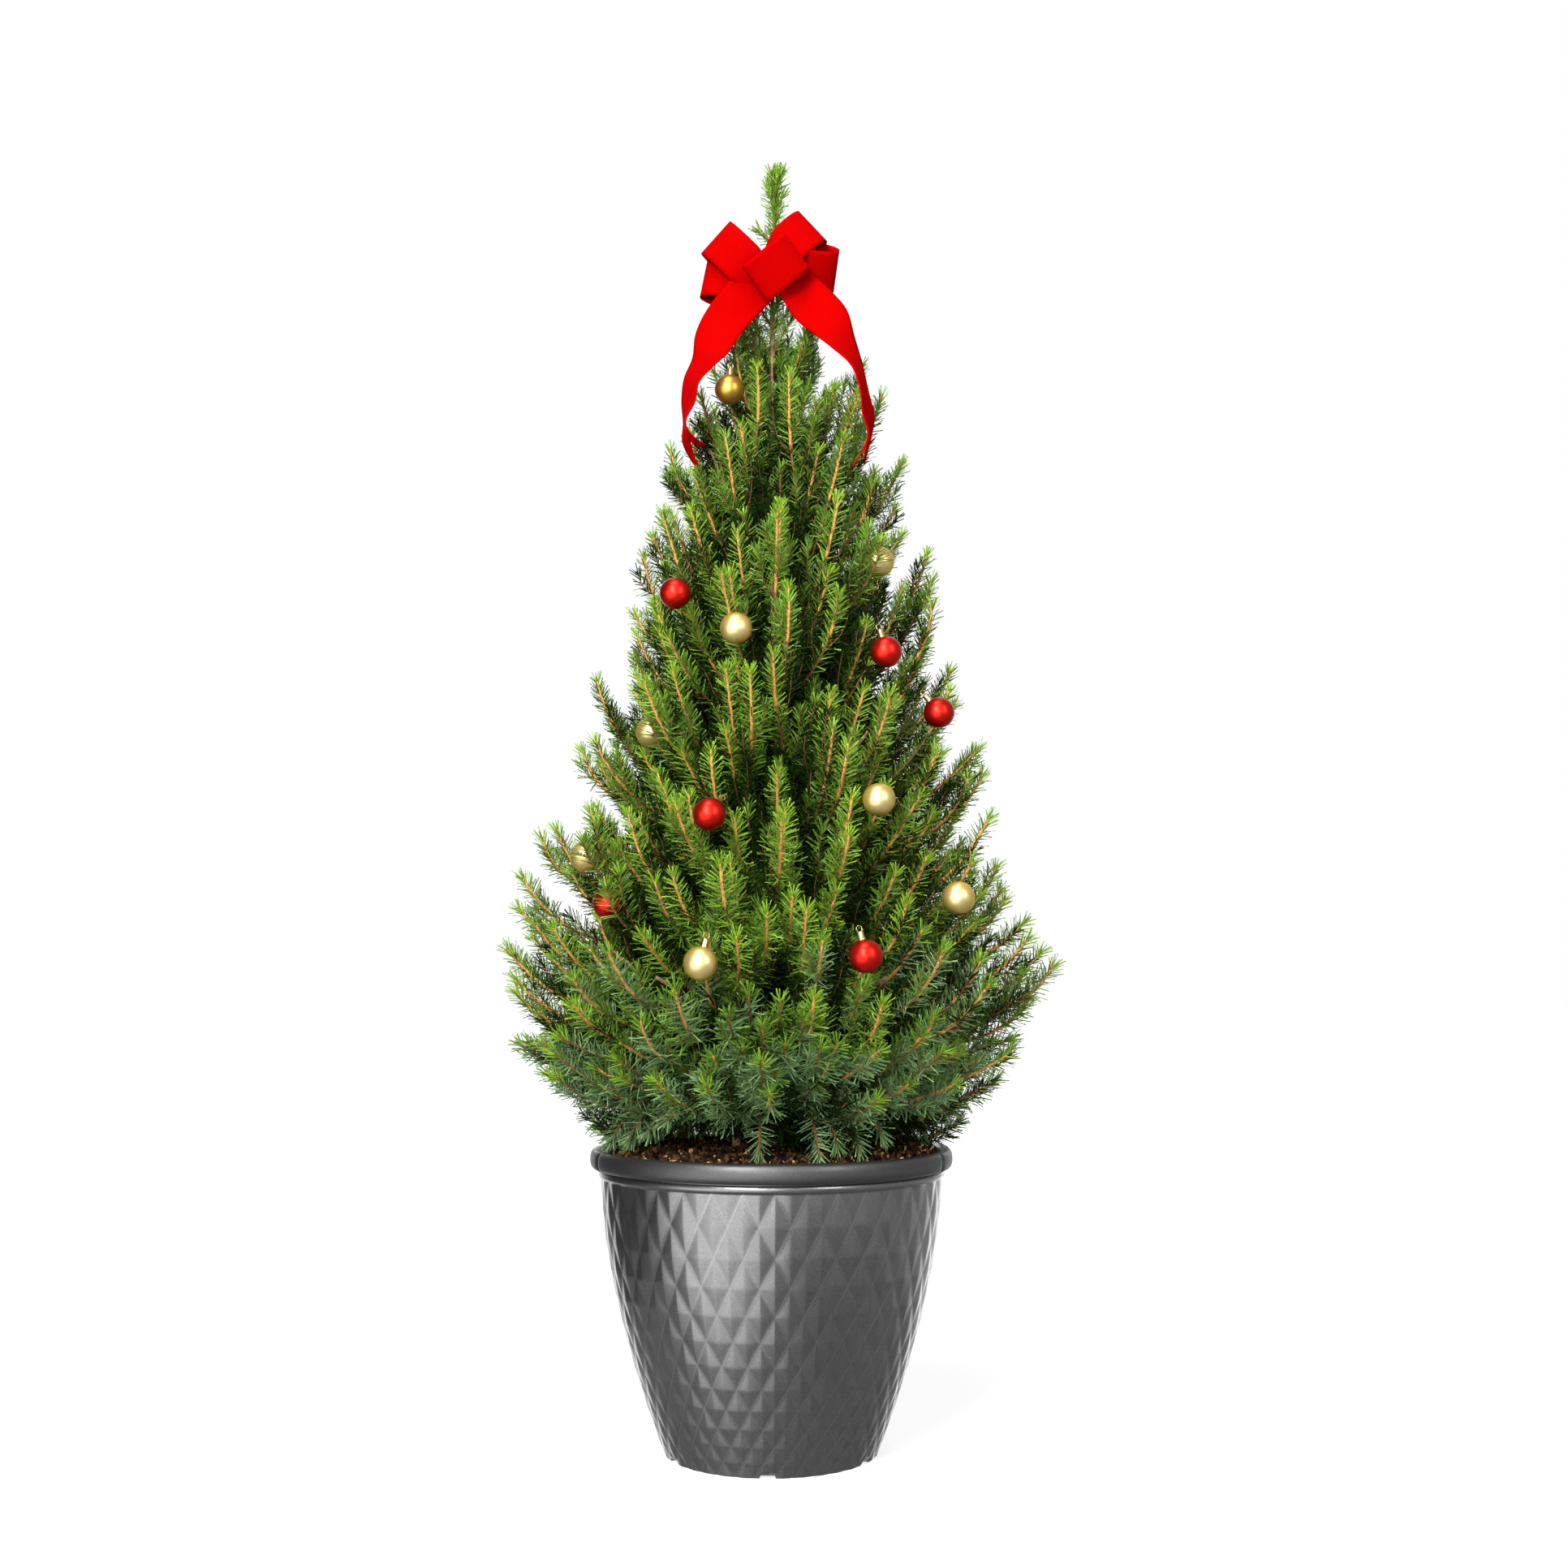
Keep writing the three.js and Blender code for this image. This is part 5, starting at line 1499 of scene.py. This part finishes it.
def side_tints(needles):
    """The tints of the needles on the side twigs: painted shade inside the crown and at its sides, but not in
    its thin top.
    """
    luck = rng.random(needles["owner"].max() + 1)[needles["owner"]]
    ends = side_paths[:, -1]
    dark = (depth_inside(ends) / SHADE_PAINT_DEPTH + SIDE_SHADE_PAINT * sideness(ends))[needles["owner"]]
    shade_paint_share = np.where(needles["tier"] > OPEN_ABOVE, OPEN_SHADE_PAINT_SHARE, np.clip(dark, *SHADE_PAINT_SHARES))
    tint = np.where(luck > shade_paint_share, "mature", "painted_shade")
    return np.where((needles["tier"] == 0) & (luck > SIDE_BLUE_FROM), "blue", tint)


def untouched(needles):
    """Which needles stay out of the baubles."""
    free = np.ones(len(needles["root"]), bool)
    for part in (0.0, 0.5, 1.0):
        points = needles["root"] + needles["way"] * (part * needles["size"])[:, None]
        for place in bauble_places:
            free &= np.linalg.norm(points - place, axis=-1) > BAUBLE_RADIUS + 0.5
    return free


dealt = [
    (shoot_needles, shoot_tints(shoot_needles)),
    (side_needles, side_tints(side_needles)),
    (droop_needles, np.full(len(droop_needles["root"]), "blue")),
    # inner needles, below the thin top, get painted shade
    (inner_needles, np.where(inner_needles["tier"] > OPEN_ABOVE, "mature", "painted_shade")),
]
free_needles = [untouched(needles) for needles, _ in dealt]
for tier, (name, _, _, masses, *_) in enumerate(TIERS):
    replaced = [f"foliage_{name}_{mass + 1}" for mass in range(masses)]
    for tint, finish in NEEDLE_FINISHES.items():
        parts = [blades(needles, free & (needles["tier"] == tier) & (tints == tint))
                 for (needles, tints), free in zip(dealt, free_needles)]
        points, triangles = join(parts)
        if len(points):
            slot = "fresh_needles" if tint == "fresh" else "needles"
            make_piece(f"needles_{name}_{tint}", points, triangles, finish, slot, replaced, False)

# %% [markdown]
# ## Leader
# The young top shoot stands straight up from the trunk, nearly bare behind the bow and full above it. A
# few small sprigs beside it make its head broad.

# %% Leader
LEADER_STEPS = 24
LEADER_TIER = 5  # the tier whose needles the leader has
LEADER_NEEDLES = (0.45, 2.8, 0.7, 0.85)  # as for the other twigs, with a share of their needles' lean
SPRIG_NEEDLES = (0.1, 1.6, 0.7, 0.9)
LEADER_RADII, SPRIG_RADII = (2.1, 0.9), (1.1, 0.7)
LEADER_LEAN = 4  # how far its tip stands to the right
LEADER_SPRIGS = [
    # height on the leader, direction in degrees, length, lean from the upright in degrees
    (936, 200, 36, 28), (942, 345, 40, 30), (948, 80, 38, 30), (955, 275, 26, 16), (960, 15, 34, 32),
    (966, 160, 32, 30), (973, 315, 22, 22), (979, 60, 28, 36), (984, 165, 22, 30),
    (1044, 185, 20, 48), (1050, 330, 13, 40), (1060, 60, 24, 16), (1068, 20, 26, 17), (1072, 200, 28, 16),
    (1080, 110, 24, 18), (1084, 290, 26, 18), (1088, 240, 22, 20), (1090, 330, 22, 20),
]
SPRIG_STEPS = 6


def leader_place(z):
    """The middle of the leader at a height."""
    rise = (z - TRUNK_TOP) / (TREE_TIP - TRUNK_TOP)
    return np.stack([LEADER_LEAN * np.clip(rise, 0, 1), 0 * rise, z + 0 * rise], -1)


def sprig_path(height, direction, length, lean):
    turn, lean = math.radians(direction), math.radians(lean)
    way = np.array([math.sin(lean) * math.cos(turn), math.sin(lean) * math.sin(turn), math.cos(lean)])
    return leader_place(np.array(height)) + way * length * np.linspace(0, 1, SPRIG_STEPS)[:, None]


leader_z = np.linspace(TRUNK_TOP - 6, TREE_TIP - 9, LEADER_STEPS)
leader_path = leader_place(leader_z)[None]
sprig_paths = np.stack([sprig_path(*sprig) for sprig in LEADER_SPRIGS])
leader_tubes = tubes(leader_path, np.linspace(*LEADER_RADII, LEADER_STEPS), 7)
sprig_tubes = tubes(sprig_paths, np.linspace(*SPRIG_RADII, SPRIG_STEPS), 5)
make_piece("leader_twig", *join([leader_tubes, sprig_tubes]), brown_bark, "bark")
leader_needles = needle_set(leader_path, np.array([LEADER_TIER]), *LEADER_NEEDLES)
sprig_needles = needle_set(sprig_paths, np.full(len(sprig_paths), LEADER_TIER), *SPRIG_NEEDLES)
for needles, tint in ((leader_needles, "mature"), (sprig_needles, "young")):
    every_needle = np.ones(len(needles["root"]), bool)
    leader_blades = blades(needles, every_needle)
    make_piece(f"needles_leader_{tint}", *leader_blades, NEEDLE_FINISHES[tint], "fresh_needles",
               ["foliage_leader"], False)

# %% [markdown]
# ## Baubles
# A bauble is a hollow ball of light plastic with satin metallic lacquer, a gilt neck, and a wire loop.
# The ball and neck are one turned profile each. A thread ties the loop to the nearest twig, so every
# bauble really hangs.

# %% Baubles
NECK_RADIUS = 2.8
NECK_HEIGHT = 6.5
LOOP_RADIUS = 2.4
WIRE_RADIUS = 0.4
THREAD_RADIUS = 0.25
BALL_RINGS = 26
BALL_COLUMNS = 40
NECK_COLUMNS = 20
NECK_OPENING = 0.1  # radians from the top of the ball
NECK_SINK = 0.955  # how far out the neck starts, as a share of the ball's radius
WIRE_STEPS = 17
WIRE_FACING = [0.4, -0.9, 0.1]
THREAD_LENGTH = 8  # wanted length, before the nearest twig is found


def lacquer_with_painted_sheen(name, edge, face, roughness, metallic):
    """A lacquer with a painted sheen: paler where it faces the viewer, deeper in colour towards the edge."""
    coat = Finish(name, Metallic=metallic, Specular_IOR_Level=0.15)
    mist = coat.grain(900.0, 2.0)
    # painted sheen: the base colour turns paler where the surface faces the viewer
    turned = coat.node("LayerWeight", {}, {"Blend": 0.55}, "Facing")
    coat.set(
        Base_Color=coat.mix(turned + 0.2 * mist, face, edge),
        Roughness=roughness + 0.08 * mist,
        Normal=coat.bump(mist, 0.00005, 0.3),
    )
    return coat


BAUBLE_FINISHES = {
    "gold": lacquer_with_painted_sheen("gold lacquer", rgb(0.62, 0.38, 0.003), rgb(0.92, 0.76, 0.38), 0.35, 0.8),
    "bronze": lacquer_with_painted_sheen("bronze lacquer", rgb(0.28, 0.13, 0.006), rgb(0.64, 0.39, 0.075), 0.33, 0.9),
    "red": lacquer_with_painted_sheen("red lacquer", rgb(0.28, 0.001, 0.002), rgb(0.90, 0.025, 0.014), 0.29, 0.85),
}
gilt = lacquer_with_painted_sheen("gilt metal", rgb(0.50, 0.30, 0.08), rgb(0.75, 0.58, 0.28), 0.28, 1.0)
thread_finish = mottled("dark thread", rgb(0.008, 0.016, 0.006), rgb(0.02, 0.035, 0.014), **TWIG_LOOK)

polar = np.linspace(np.pi, NECK_OPENING, BALL_RINGS)
ball_profile = np.stack([BAUBLE_RADIUS * np.sin(polar), BAUBLE_RADIUS * np.cos(polar)], -1)
ball_profile[0, 0] = 0.01
neck_foot = BAUBLE_RADIUS * NECK_SINK
neck_profile = [
    (NECK_RADIUS * 1.12, neck_foot), (NECK_RADIUS * 1.12, neck_foot + 1), (NECK_RADIUS, neck_foot + 1.4),
    (NECK_RADIUS * 0.96, neck_foot + NECK_HEIGHT - 1), (NECK_RADIUS * 0.8, neck_foot + NECK_HEIGHT),
    (0.01, neck_foot + NECK_HEIGHT + 0.2),
]
loop_turn = np.linspace(0, 2 * np.pi, WIRE_STEPS)
loop_path = np.stack([
    LOOP_RADIUS * np.sin(loop_turn), 0 * loop_turn,
    neck_foot + NECK_HEIGHT + LOOP_RADIUS * (0.85 - np.cos(loop_turn))], -1)
LOOP_TOP = neck_foot + NECK_HEIGHT + 1.85 * LOOP_RADIUS

twig_points = np.concatenate([outer_paths[:, 2:].reshape(-1, 3), side_paths.reshape(-1, 3)])
balls = {colour: [] for colour in BAUBLE_FINISHES}
necks, wires, threads = [], [], []
for place, colour, (lean_right, lean_back) in zip(bauble_places, bauble_colours, bauble_leans):
    upright = unit(np.array([math.tan(math.radians(lean_right)), math.tan(math.radians(lean_back)), 1]))
    wanted = place + upright * (LOOP_TOP + THREAD_LENGTH)
    tie = twig_points[np.argmin(np.linalg.norm(twig_points - wanted, axis=-1))]
    first = unit(np.cross(upright, WIRE_FACING))
    axes = np.stack([first, np.cross(upright, first), upright])
    for store, (points, triangles) in (
        (balls[colour], lathe(ball_profile, BALL_COLUMNS)),
        (necks, lathe(neck_profile, NECK_COLUMNS)),
        (wires, tubes(loop_path[None], WIRE_RADIUS, 6)),
    ):
        store.append((points @ axes + place, triangles))
    thread = lerp(place + upright * LOOP_TOP, tie, np.linspace(0, 1, 5)[:, None])
    threads.append(tubes(thread[None], THREAD_RADIUS, 5))
for colour, finish in BAUBLE_FINISHES.items():
    make_piece(f"baubles_{colour}", *join(balls[colour]), finish, "ornaments")
make_piece("bauble_necks", *join(necks), gilt, "ornaments")
make_piece("bauble_wires", *join(wires), gilt, "ornaments")
make_piece("bauble_threads", *join(threads), thread_finish, "ornaments")

# %% [markdown]
# ## Bow
# The bow is one stiff velvet ribbon: four loops, a front loop over the knot, and two tails with notched
# ends. A ribbon is a strip that follows a line and keeps its width, so each loop or tail is given as a
# line with a direction across it. The strip has two faces and thin edges, like the real cloth.

# %% Ribbon
RIBBON_THICKNESS = 1.2
RIBBON_COLUMNS = 11
LOOP_STEPS = 49
GATHER = 2.2  # how soon a loop widens from the knot
GATHERED_WIDTH = 0.3  # share of the ribbon's width at a knot that pinches it fully

velvet = Finish("red velvet", Specular_IOR_Level=0.01, Sheen_Weight=0.1, Sheen_Roughness=0.5)
velvet.set(Sheen_Tint=rgb(1, 0.005, 0.005))
nap = velvet.grain(2600.0, 3.0)
fold_shade = velvet.grain(30.0, 2.0)
velvet.set(
    Base_Color=velvet.mix(0.6 * nap + 0.4 * fold_shade, rgb(0.31, 0.0, 0.0), rgb(0.44, 0.0003, 0.0003)),
    Roughness=0.75 + 0.2 * nap,
    Normal=velvet.bump(nap, 0.0003, 0.5),
)


def strip_cap(count):
    """Triangles that close the end of a strip with count points round it."""
    last = count - 1
    faces = []
    for k in range(count // 2 - 1):
        faces += [(k, last - k, k + 1), (k + 1, last - k, last - k - 1)]
    return np.array(faces)


def ribbon(line, across, half, cup=0.0, notch=0.0):
    """A strip along a line. A notch cuts its far end, and cup bends it across."""
    line, across = np.asarray(line, float), unit(np.asarray(across, float))
    half = np.broadcast_to(half, len(line))
    own = np.linspace(0, 1, len(line))
    v = np.linspace(-1, 1, RIBBON_COLUMNS)
    share = own[:, None] * (1 - notch * (1 - np.abs(v)))
    normal = unit(np.cross(np.gradient(line, axis=0), across))

    def at(values):
        return np.stack([np.interp(share, own, column) for column in values.T], -1)

    facing = unit(at(normal))
    middle = at(line) + at(across) * (v * np.interp(share, own, half))[..., None]
    middle = middle + facing * (cup * (v ** 2 - 0.4))[:, None]
    front = middle + facing * RIBBON_THICKNESS / 2
    back = middle - facing * RIBBON_THICKNESS / 2
    ring = np.concatenate([front, back[:, ::-1]], 1)
    count = ring.shape[1]
    start_cap = strip_cap(count)
    end_cap = start_cap[:, ::-1] + (len(line) - 1) * count
    triangles = np.concatenate([grid_triangles(len(line), count), start_cap, end_cap])
    return ring.reshape(-1, 3), triangles


def bow_loop(root, fold, depth, thick, turn, pinch):
    """A loop of ribbon from the knot to a fold, both pixels. It faces the camera, apart from its turn."""
    forward = -unit(sight(*fold))
    root, fold = photo_point(*root, depth), photo_point(*fold, depth)
    way = unit(fold - root)
    way = unit(way - forward * (way @ forward))
    across = np.cross(way, forward)
    turn = math.radians(turn)
    forward, across = (forward * math.cos(turn) + across * math.sin(turn),
                       across * math.cos(turn) - forward * math.sin(turn))
    a = np.linspace(0, 2 * np.pi, LOOP_STEPS)
    along = (1 - np.cos(a)) / 2
    gather = np.clip(along * GATHER, 0, 1)
    line = lerp(root, fold, along[:, None])
    line = line + (thick / 2 * np.sin(a) * lerp(pinch, 1, gather))[:, None] * forward
    half = RIBBON_HALF * lerp(lerp(GATHERED_WIDTH, 1, pinch), 1, gather)
    return ribbon(line, np.broadcast_to(across, line.shape), half)


# %% Bow
TAIL_NOTCH = 0.13  # depth of the notch in a tail's end, as a share of the tail's length
TAIL_CUP = 1.0
KNOT_PIXEL = (952, 345)
KNOT_DEPTH = -16
BOW_LOOPS = [
    # pixels of the root and of the fold, depth behind the knot, thickness, turn in degrees, pinch
    ((941, 359), (868, 342), 4, 24, 26, 0.6),
    ((960, 324), (1030, 334), 4, 24, 18, 0.6),
    ((943, 353), (882, 293), -5, 24, 8, 0.6),
    ((952, 330), (1001, 279), -5, 24, -22, 0.6),
    ((931, 350), (981, 309), -27, 16, 0, 1.0),
]
TIE_HALF_WIDTH, TIE_HALF_DEPTH, TIE_MIDDLE = 4.5, 12.5, -8
TIE_RADIUS = 1.1
TIE_STEPS, TIE_SIDES = 25, 8

bow_parts = [bow_loop(root, fold, KNOT_DEPTH + behind, *form) for root, fold, behind, *form in BOW_LOOPS]
for left_edge, right_edge in tails:
    tail_across = (right_edge - left_edge) / 2
    tail_half = np.linalg.norm(tail_across, axis=-1)
    bow_parts.append(ribbon(left_edge + tail_across, tail_across, tail_half, TAIL_CUP, TAIL_NOTCH))
make_piece("bow_ribbon", *join(bow_parts), velvet, "ribbon")

knot_height = photo_point(*KNOT_PIXEL, 0)[2]
tie_turn = np.linspace(0, 2 * np.pi, TIE_STEPS)
tie_path = np.stack([
    TIE_HALF_WIDTH * np.sin(tie_turn),
    TIE_MIDDLE + TIE_HALF_DEPTH * np.cos(tie_turn),
    knot_height + 0 * tie_turn,
], -1)
make_piece("bow_tie", *tubes(tie_path[None], TIE_RADIUS, TIE_SIDES), velvet, "ribbon")

# %% [markdown]
# ## Size
# The boxes of the solid model and of the dressed model are gathered, and the dressed model's size is printed.
# The dressed model has to stay in the solid model's box, apart from a small margin.

# %% Size
dressed_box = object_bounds()
boxes = {"cad": cad_box, "dressed": dressed_box}
{name: [list(corner) for corner in box] for name, box in boxes.items()}
print("dressed size", [round(side, 4) for side in dressed_box[1] - dressed_box[0]])
